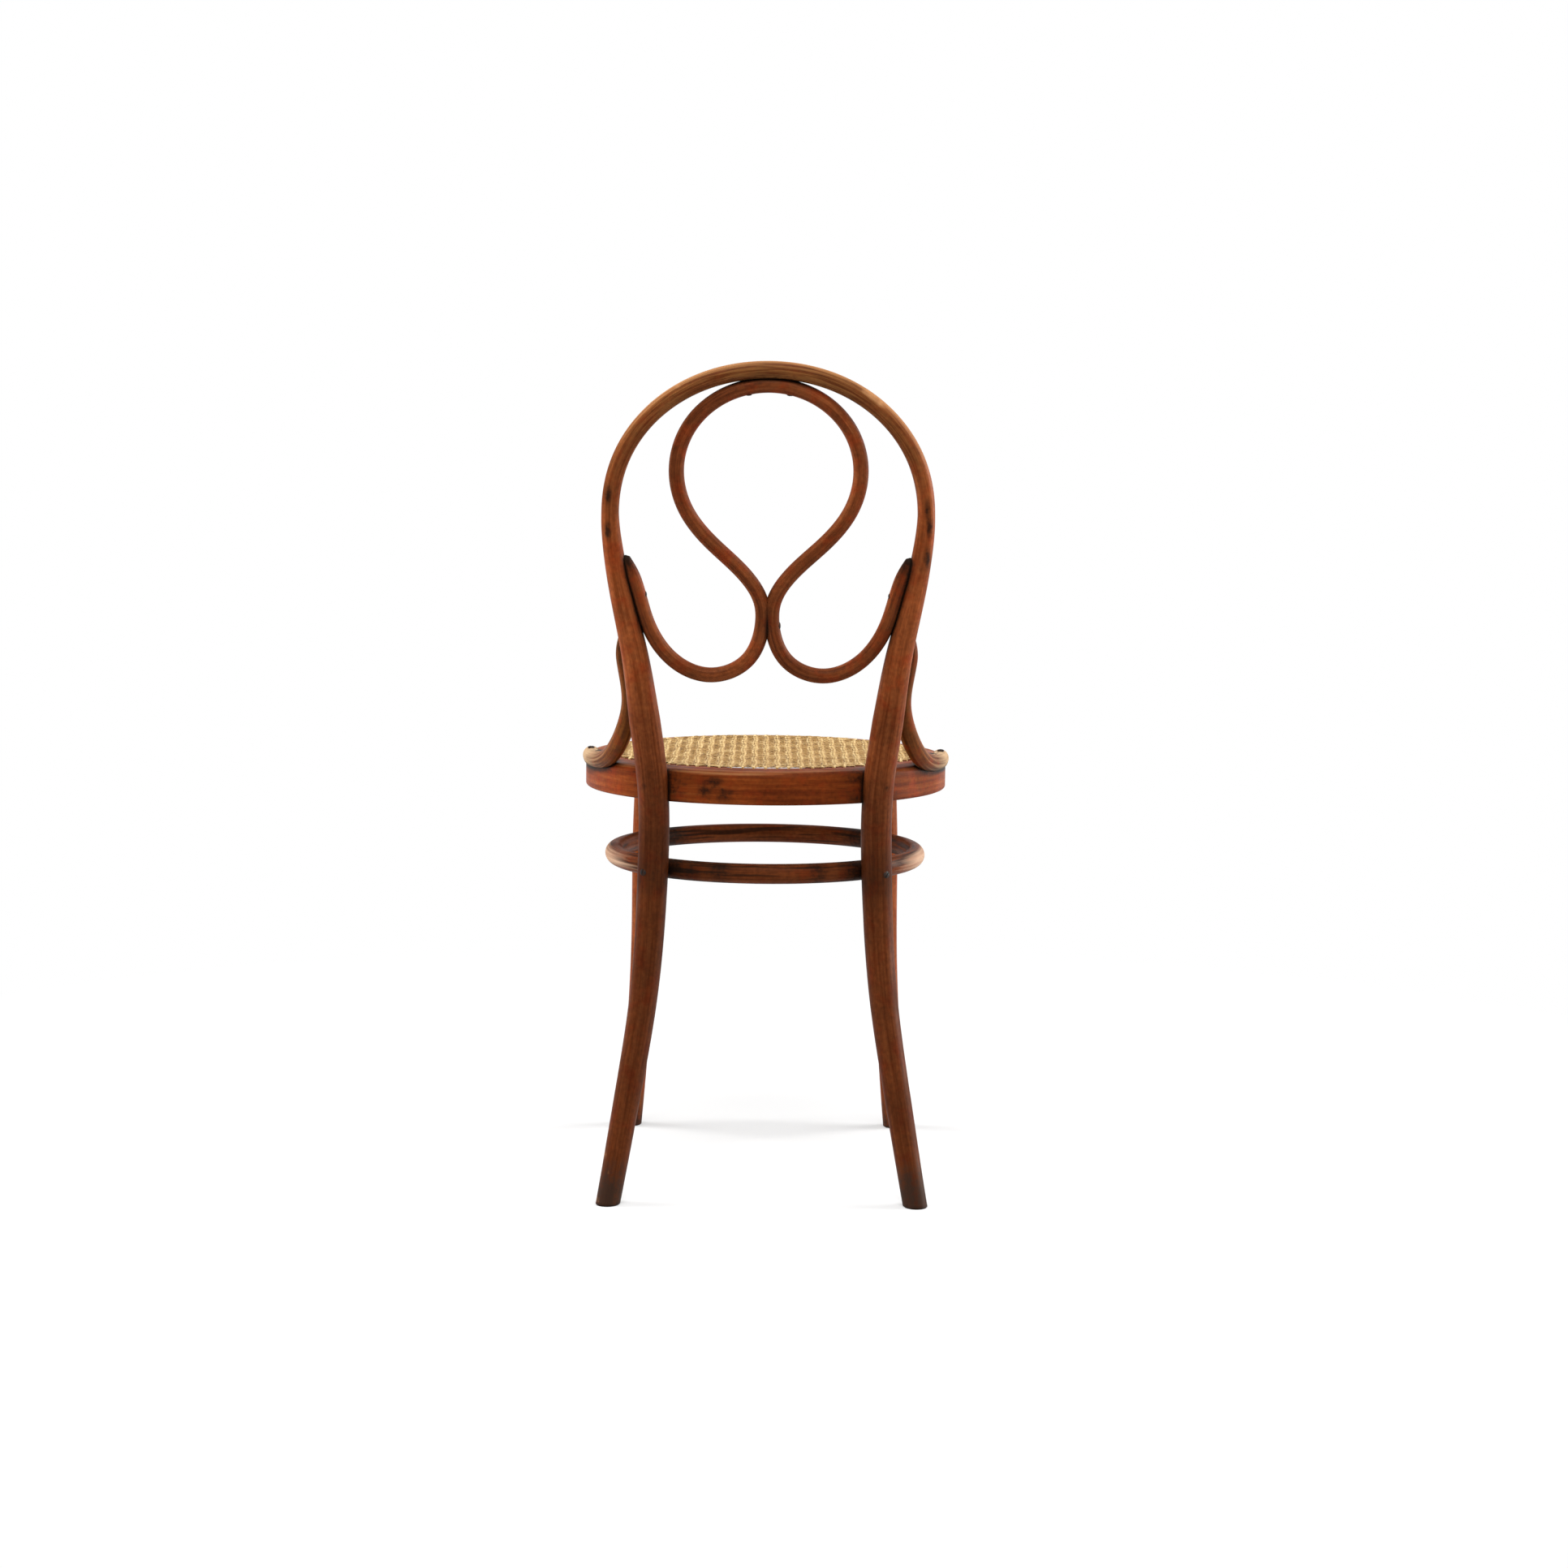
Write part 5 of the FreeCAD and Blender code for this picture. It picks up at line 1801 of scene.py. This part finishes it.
    def strands(self, layer: Layer) -> list[Run]:
        """All strands of one direction.

        Args:
            layer: The direction.

        Returns:
            The strands.
        """
        draw = np.random.default_rng(self.seed + int(layer.direction))
        spacing = self.pitch if layer.paired else self.pitch / math.sqrt(2)
        count = math.ceil(self.ring.hole_reach / spacing)
        shifts = ((-self.pair_gap / 2, -1), (self.pair_gap / 2, 1)) if layer.paired else ((0.0, 1),)
        runs = []
        for i in range(-count, count + 1):
            offset = i * spacing if layer.paired else (i + 0.5) * spacing
            turn = draw.random()
            for shift, sign in shifts:
                tone = layer.tone + self.tone_spread * draw.standard_normal()
                runs.append(self.strand(layer, offset, shift, sign, tone, turn))
        return [run for run in runs if run is not None]

    def build(self, sweep: Tree, finish: RattanCane) -> None:
        """Build and dress the strands, one piece for each direction.

        Args:
            sweep: Tree that sweeps a flat section along guide edges.
            finish: Finish of the cane.
        """
        sizes = {"Sides": self.strand_sides, "Width": self.strand_width / 2 * MM,
                 "Height": self.strand_thickness / 2 * MM, "Material": finish.material()}
        for layer in self.layers:
            piece = link_object(layer.name, guide_mesh(layer.name, self.strands(layer)))
            grown(piece, sweep, sizes)
            sharpen(piece.data, self.sharp_angle)
            carry(piece, Slot.CANE, "seat_cane")


@dataclass
class SlottedScrews:
    """Round-headed slotted screws in the places of the frame's own screws.

    The sizes from dome to clear are shares of the head's radius; clear is a length past everything.
    """

    nodes: tuple[str, ...] = ("leg_ring_screws", "insert_top_screws", "insert_end_screws",
                              "insert_middle_screw", "brace_seat_screws", "brace_upright_screws")
    head_length: float = 2.5
    dome: float = 0.40
    sunk: float = 0.26
    slot_width: float = 0.26
    slot_depth: float = 0.24
    shank: float = 0.49
    clear: float = 4.0
    sides: int = 20
    rings: int = 10
    sharp_angle: float = 35.0
    seed: int = 5

    def tree(self) -> Tree:
        """Node tree that sets a slotted head and a shank on each guide point.

        Returns:
            Tree with the inputs Dome, Slot Width, Slot Depth and Material; sizes are shares of the
            head's radius.
        """
        sizes = {"Dome": "Float", "Slot Width": "Float", "Slot Depth": "Float"}
        tree, given = shape_tree("slotted_screws", sizes)

        # A flattened ball without its lower half, cut by a block as wide as the slot
        ball = add(tree, "GeometryNodeMeshUVSphere",
                   {"Segments": self.sides, "Rings": self.rings, "Radius": 1.0})
        flat = add(tree, "ShaderNodeCombineXYZ", {"X": 1.0, "Y": 1.0, "Z": given["Dome"]}).outputs[0]
        ball = add(tree, "GeometryNodeTransform", {"Geometry": ball.outputs[0], "Scale": flat}).outputs[0]
        lower = add(tree, "GeometryNodeMeshCube", {"Size": (self.clear, self.clear, self.clear)}).outputs[0]
        lower = add(tree, "GeometryNodeTransform",
                    {"Geometry": lower, "Translation": (0.0, 0.0, -self.clear / 2)}).outputs[0]
        size = add(tree, "ShaderNodeCombineXYZ",
                   {"X": self.clear, "Y": given["Slot Width"], "Z": self.clear / 2}).outputs[0]
        slot = add(tree, "GeometryNodeMeshCube", {"Size": size}).outputs[0]
        floor = add(tree, "ShaderNodeMath", {0: given["Dome"], 1: given["Slot Depth"]}, operation="SUBTRACT")
        centre = add(tree, "ShaderNodeMath", {0: floor.outputs[0], 1: self.clear / 4}).outputs[0]
        lift = add(tree, "ShaderNodeCombineXYZ", {"Z": centre}).outputs[0]
        slot = add(tree, "GeometryNodeTransform", {"Geometry": slot, "Translation": lift}).outputs[0]
        head = ball
        for cutter in (lower, slot):
            head = add(tree, "GeometryNodeMeshBoolean", {0: head, 1: cutter},
                       operation="DIFFERENCE").outputs[0]
        head = add(tree, "GeometryNodeTransform",
                   {"Geometry": head, "Translation": (0.0, 0.0, -self.sunk)}).outputs[0]
        pin = add(tree, "GeometryNodeMeshCylinder",
                  {"Vertices": self.sides, "Radius": self.shank, "Depth": 1.0}).outputs[0]
        pin = add(tree, "GeometryNodeTransform",
                  {"Geometry": pin, "Translation": (0.0, 0.0, -0.5)}).outputs[0]

        # One of each on every guide point, turned and sized by the point's marks
        axis, across, radius, length = (
            add(tree, "GeometryNodeInputNamedAttribute", {"Name": name}, data_type=kind).outputs[0]
            for name, kind in (("axis", "FLOAT_VECTOR"), ("slot", "FLOAT_VECTOR"), ("size", "FLOAT"),
                               ("length", "FLOAT"))
        )
        turned = add(tree, "FunctionNodeAxesToRotation", {"Primary Axis": axis, "Secondary Axis": across},
                     primary_axis="Z", secondary_axis="X").outputs[0]
        long = add(tree, "ShaderNodeCombineXYZ", {"X": radius, "Y": radius, "Z": length}).outputs[0]
        both = add(tree, "GeometryNodeJoinGeometry")
        for shape, scale in ((head, radius), (pin, long)):
            placed = add(tree, "GeometryNodeInstanceOnPoints",
                         {"Points": given["Geometry"], "Instance": shape, "Rotation": turned, "Scale": scale})
            tree.links.new(placed.outputs[0], both.inputs[0])
        solid = add(tree, "GeometryNodeRealizeInstances", {"Geometry": both.outputs[0]}).outputs[0]
        solid = add(tree, "GeometryNodeSetMaterial", {"Geometry": solid, "Material": given["Material"]})
        add(tree, "NodeGroupOutput", {0: solid.outputs[0]})
        return tree

    def places(self, mesh: Mesh, same: float = 1e-6) -> list[tuple[Array, Array, float, float]]:
        """Find the screws in a mesh.

        Args:
            mesh: Mesh of one or more screws, in metres.
            same: Distance below which points are one, in metres.

        Returns:
            Top of the head, outward axis, head radius and length of each screw, in mm.
        """
        shape = bmesh.new()
        shape.from_mesh(mesh)
        bmesh.ops.remove_doubles(shape, verts=shape.verts, dist=same)
        shape.verts.ensure_lookup_table()
        waiting = dict.fromkeys(range(len(shape.verts)))
        found = []
        while waiting:
            stack = [waiting.popitem()[0]]
            part = list(stack)
            while stack:
                for edge in shape.verts[stack.pop()].link_edges:
                    for vertex in edge.verts:
                        if vertex.index in waiting:
                            del waiting[vertex.index]
                            stack.append(vertex.index)
                            part.append(vertex.index)
            found.append(self.measured(np.array([shape.verts[i].co[:] for i in part]) / MM))
        shape.free()
        return found

    def measured(self, points: Array) -> tuple[Array, Array, float, float]:
        """Measure one screw.

        Args:
            points: All its points, in mm.

        Returns:
            Top of its head, outward axis, head radius and length, in mm.
        """
        middle = points.mean(axis=0)
        axis = np.linalg.svd(points - middle, full_matrices=False)[2][0]
        along = (points - middle) @ axis
        across = np.linalg.norm(points - middle - np.outer(along, axis), axis=1)
        upper = across[along > along.max() - self.head_length].max()
        lower = across[along < along.min() + self.head_length].max()
        if lower > upper:
            axis, along, upper = -axis, -along, lower
        return middle + axis * along.max(), axis, float(upper), float(np.ptp(along))

    def build(self, finish: Material) -> None:
        """Build and dress the screws, one piece for each node.

        Args:
            finish: Material of the steel.
        """
        tree = self.tree()
        sizes = {"Dome": self.dome, "Slot Width": self.slot_width, "Slot Depth": self.slot_depth}
        draw = np.random.default_rng(self.seed)
        for node in self.nodes:
            screws = self.places(frame["nodes"][node].data)
            name = node + "_slotted"
            mesh = bpy.data.meshes.new(name)
            mesh.from_pydata([(top * MM).tolist() for top, *_ in screws], [], [])
            axes = np.array([axis for _, axis, _, _ in screws])
            slots = np.cross(axes, draw.standard_normal((len(screws), 3)))
            for key, vectors in (("axis", axes), ("slot", slots)):
                attribute = mesh.attributes.new(key, "FLOAT_VECTOR", "POINT")
                attribute.data.foreach_set("vector", vectors.astype(np.float32).ravel())
            write_mark(mesh, "size", np.array([radius for _, _, radius, _ in screws]) * MM)
            write_mark(mesh, "length", np.array([length for _, _, _, length in screws]) * MM)
            piece = grown(link_object(name, mesh), tree, {**sizes, "Material": finish})
            sharpen(piece.data, self.sharp_angle)
            carry(piece, Slot.STEEL, node)


@dataclass
class PhotoCamera:
    """Camera at the angle of the photograph, behind the chair; its angles are in radians."""

    distance: float = 3464.5
    height: float = 838.0
    pitch: float = 0.1152
    yaw: float = 0.0060
    roll: float = 0.0105
    focal_pixels: float = 3797.0
    image_pixels: float = 1932.0
    sensor: float = 36.0
    nearest: float = 100.0
    farthest: float = 50000.0

    def build(self) -> None:
        """Put the camera in the scene."""
        data = bpy.data.cameras.new("photo_camera")
        data.sensor_width = self.sensor
        data.lens = self.focal_pixels / self.image_pixels * self.sensor
        data.clip_start, data.clip_end = self.nearest * MM, self.farthest * MM
        camera = link_object("photo_camera", data)
        level = math.cos(self.pitch)
        ahead = np.array([math.sin(self.yaw) * level, math.cos(self.yaw) * level, -math.sin(self.pitch)])
        right = np.array([math.cos(self.yaw), -math.sin(self.yaw), 0.0])
        above = np.cross(right, ahead)
        turned_right = math.cos(self.roll) * right + math.sin(self.roll) * above
        turned_above = math.cos(self.roll) * above - math.sin(self.roll) * right
        place = np.array([0.0, -self.distance, self.height]) * MM
        matrix = np.eye(4)
        matrix[:3] = np.column_stack([turned_right, turned_above, -ahead, place])
        camera.matrix_world = matrix.T.tolist()
        bpy.context.scene.camera = camera


@dataclass(frozen=True)
class Lamp:
    """Soft rectangular lamp: where it stands, its width and height, all in mm, and its power in watts."""

    name: str
    place: tuple[float, float, float]
    size: tuple[float, float]
    power: float
    in_polish: bool = True
    target: tuple[float, float, float] = (0.0, 0.0, 500.0)

    def build(self) -> None:
        """Put the lamp in the scene, pointed at its target."""
        data = bpy.data.lights.new(self.name, "AREA")
        data.shape = "RECTANGLE"
        data.size, data.size_y = self.size[0] * MM, self.size[1] * MM
        data.energy = self.power
        lamp = link_object(self.name, data)
        lamp.visible_glossy = self.in_polish
        lamp.location = np.array(self.place) * MM
        aim = Vector(self.target) - Vector(self.place)
        lamp.rotation_euler = aim.to_track_quat("-Z", "Y").to_euler()


@dataclass
class Studio:
    """White floor and soft light all round, as for a cut-out product picture."""

    floor_size: float = 12000.0
    fade_start: float = 420.0
    fade_end: float = 1500.0
    bounce: float = 0.55
    paper: float = 0.66
    near_white: float = 0.35
    surround_light: float = 0.38

    # The left lamp is kept out of the polish, where the photograph shows no bright edge
    lamps: tuple[Lamp, ...] = (
        Lamp("window_left", (-2500.0, 350.0, 1300.0), (1500.0, 2200.0), 104.0, in_polish=False),
        Lamp("window_right", (2500.0, 450.0, 1300.0), (1500.0, 2200.0), 112.0),
        Lamp("overhead", (0.0, -1500.0, 3000.0), (2400.0, 2400.0), 92.0),
    )

    def build(self) -> None:
        """Put the floor, the world and the lamps in the scene."""
        self.floor()
        self.world()
        for lamp in self.lamps:
            lamp.build()

    def floor(self) -> None:
        """White floor that keeps the soft shadow near the chair."""
        half = self.floor_size * MM / 2
        mesh = bpy.data.meshes.new("studio_floor")
        corners = [(-half, -half, 0), (half, -half, 0), (half, half, 0), (-half, half, 0)]
        mesh.from_pydata(corners, [], [(0, 1, 2, 3)])

        # Matt white paper gives the eye no shine, only a soft shadow that fades to pure white
        material, tree, _ = bare_material("white_paper_matt")
        tree.nodes.clear()
        path = add(tree, "ShaderNodeLightPath").outputs
        shade = add(tree, "ShaderNodeMapRange",
                    {0: path["Is Camera Ray"], 3: self.bounce, 4: self.paper}).outputs[0]
        paper = add(tree, "ShaderNodeBsdfDiffuse", {"Color": shade})
        white = add(tree, "ShaderNodeEmission", {"Color": WHITE, "Strength": 1.0})
        place = add(tree, "ShaderNodeTexCoord").outputs["Object"]
        reach = add(tree, "ShaderNodeVectorMath", {0: place}, operation="LENGTH").outputs["Value"]
        far = add(tree, "ShaderNodeMapRange",
                  {0: reach, 1: self.fade_start * MM, 2: self.fade_end * MM, 3: self.near_white}).outputs[0]
        share = add(tree, "ShaderNodeMath", {0: far, 1: self.shown(tree)}, operation="MULTIPLY").outputs[0]
        mix = add(tree, "ShaderNodeMixShader", {0: share, 1: paper.outputs[0], 2: white.outputs[0]})
        add(tree, "ShaderNodeOutputMaterial", {"Surface": mix.outputs[0]})
        mesh.materials.append(material)
        link_object("studio_floor", mesh)

    def world(self) -> None:
        """White surround that is softer as a light than it looks to the camera."""
        world = bpy.data.worlds.new("white_surround")
        bpy.context.scene.world = world
        world.use_nodes = True
        tree = world.node_tree
        tree.nodes.clear()
        light, white = (add(tree, "ShaderNodeBackground", {"Color": WHITE, "Strength": strength}).outputs[0]
                        for strength in (self.surround_light, 1.0))
        mix = add(tree, "ShaderNodeMixShader", {0: self.shown(tree), 1: light, 2: white})
        add(tree, "ShaderNodeOutputWorld", {"Surface": mix.outputs[0]})

    @staticmethod
    def shown(tree: Tree) -> Socket:
        """Share of white that a ray is shown: all for the camera, and off polish or through glass.

        Args:
            tree: Tree of the floor's material or the world.

        Returns:
            1 for such rays, 0 for others.
        """
        path = add(tree, "ShaderNodeLightPath").outputs
        share = path["Is Camera Ray"]
        for name in ("Is Glossy Ray", "Is Transmission Ray"):
            share = add(tree, "ShaderNodeMath", {0: share, 1: path[name]}, operation="MAXIMUM").outputs[0]
        return share


def main() -> None:
    """Build the chair's pieces in order and set the studio round them."""
    logging.basicConfig(level=logging.INFO, format="%(name)s: %(message)s")
    bpy.context.scene.view_settings.view_transform = "Standard"
    sweep = sweep_tree(Lay.ROUND)
    ribbon = sweep_tree(Lay.FLAT)
    back = BackFrame()
    seat = SeatRing()
    insert_finish = StainedBeech("beech_bent_back_insert", (3.1, 1.7, 5.3),
                                 dark="#532611", middle="#6e371a", light="#804626")
    seat_finish = StainedBeech("beech_bent_seat_ring", (7.7, 2.9, 1.3), below=1.0, dark="#5b240b",
                               middle="#713210", light="#80411b", streaks=Pattern(4.5, 130.0, 4.0))
    # The leg ring's pale colour is that of the painted sheen on its outer sides
    ring_finish = StainedBeech("beech_bent_leg_ring", (2.3, 8.1, 4.9), below=0.56, worn_and_sheen="#b4937a",
                               stains=Pattern(5.0, 75.0), stain_share=(0.50, 0.60, 0.0, 0.70))
    wooden = [
        back.build(sweep, StainedBeech("beech_bent_back_frame", (0.0, 0.0, 0.0), faded_share=0.66)),
        BackInsert(back).build(sweep, insert_finish),
        seat.build(seat_finish),
        LegRing().build(sweep, ring_finish),
    ]
    for right in (True, False):
        shift = 5.0 if right else 9.0
        leg_finish = StainedBeech(f"beech_turned_front_leg_{right:d}", (shift, 3.3, 2.2), below=0.9)
        # The braces take darker stain colours, partly painted shade of their sides that face away from the
        # lamps, and a pale colour for the painted highlight on their feet
        brace_finish = StainedBeech(f"beech_bent_hip_brace_{right:d}", (shift, 6.1, 0.7), below=1.0,
                                    dark="#48240b", middle="#5f3211", light="#76451c", worn_and_sheen="#ac9070")
        wooden.append(FrontLegs().build(sweep, leg_finish, right))
        wooden.append(HipBraces(back).build(sweep, brace_finish, right))
    # Grime with painted shade where the wooden pieces meet, and a painted shadow line at each contact
    settle_grime_and_shade(wooden)
    CaneSeat(seat).build(ribbon, RattanCane())
    steel = BlackenedSteel().material()
    SlottedScrews().build(steel)

    # The bolts through the back legs, their washers and their nuts keep their own shapes
    for name, node in frame["nodes"].items():
        if name.startswith("seat_bolt"):
            node.data.materials.clear()
            node.data.materials.append(steel)
    Studio().build()
    PhotoCamera().build()


if __name__ == "__main__":
    main()
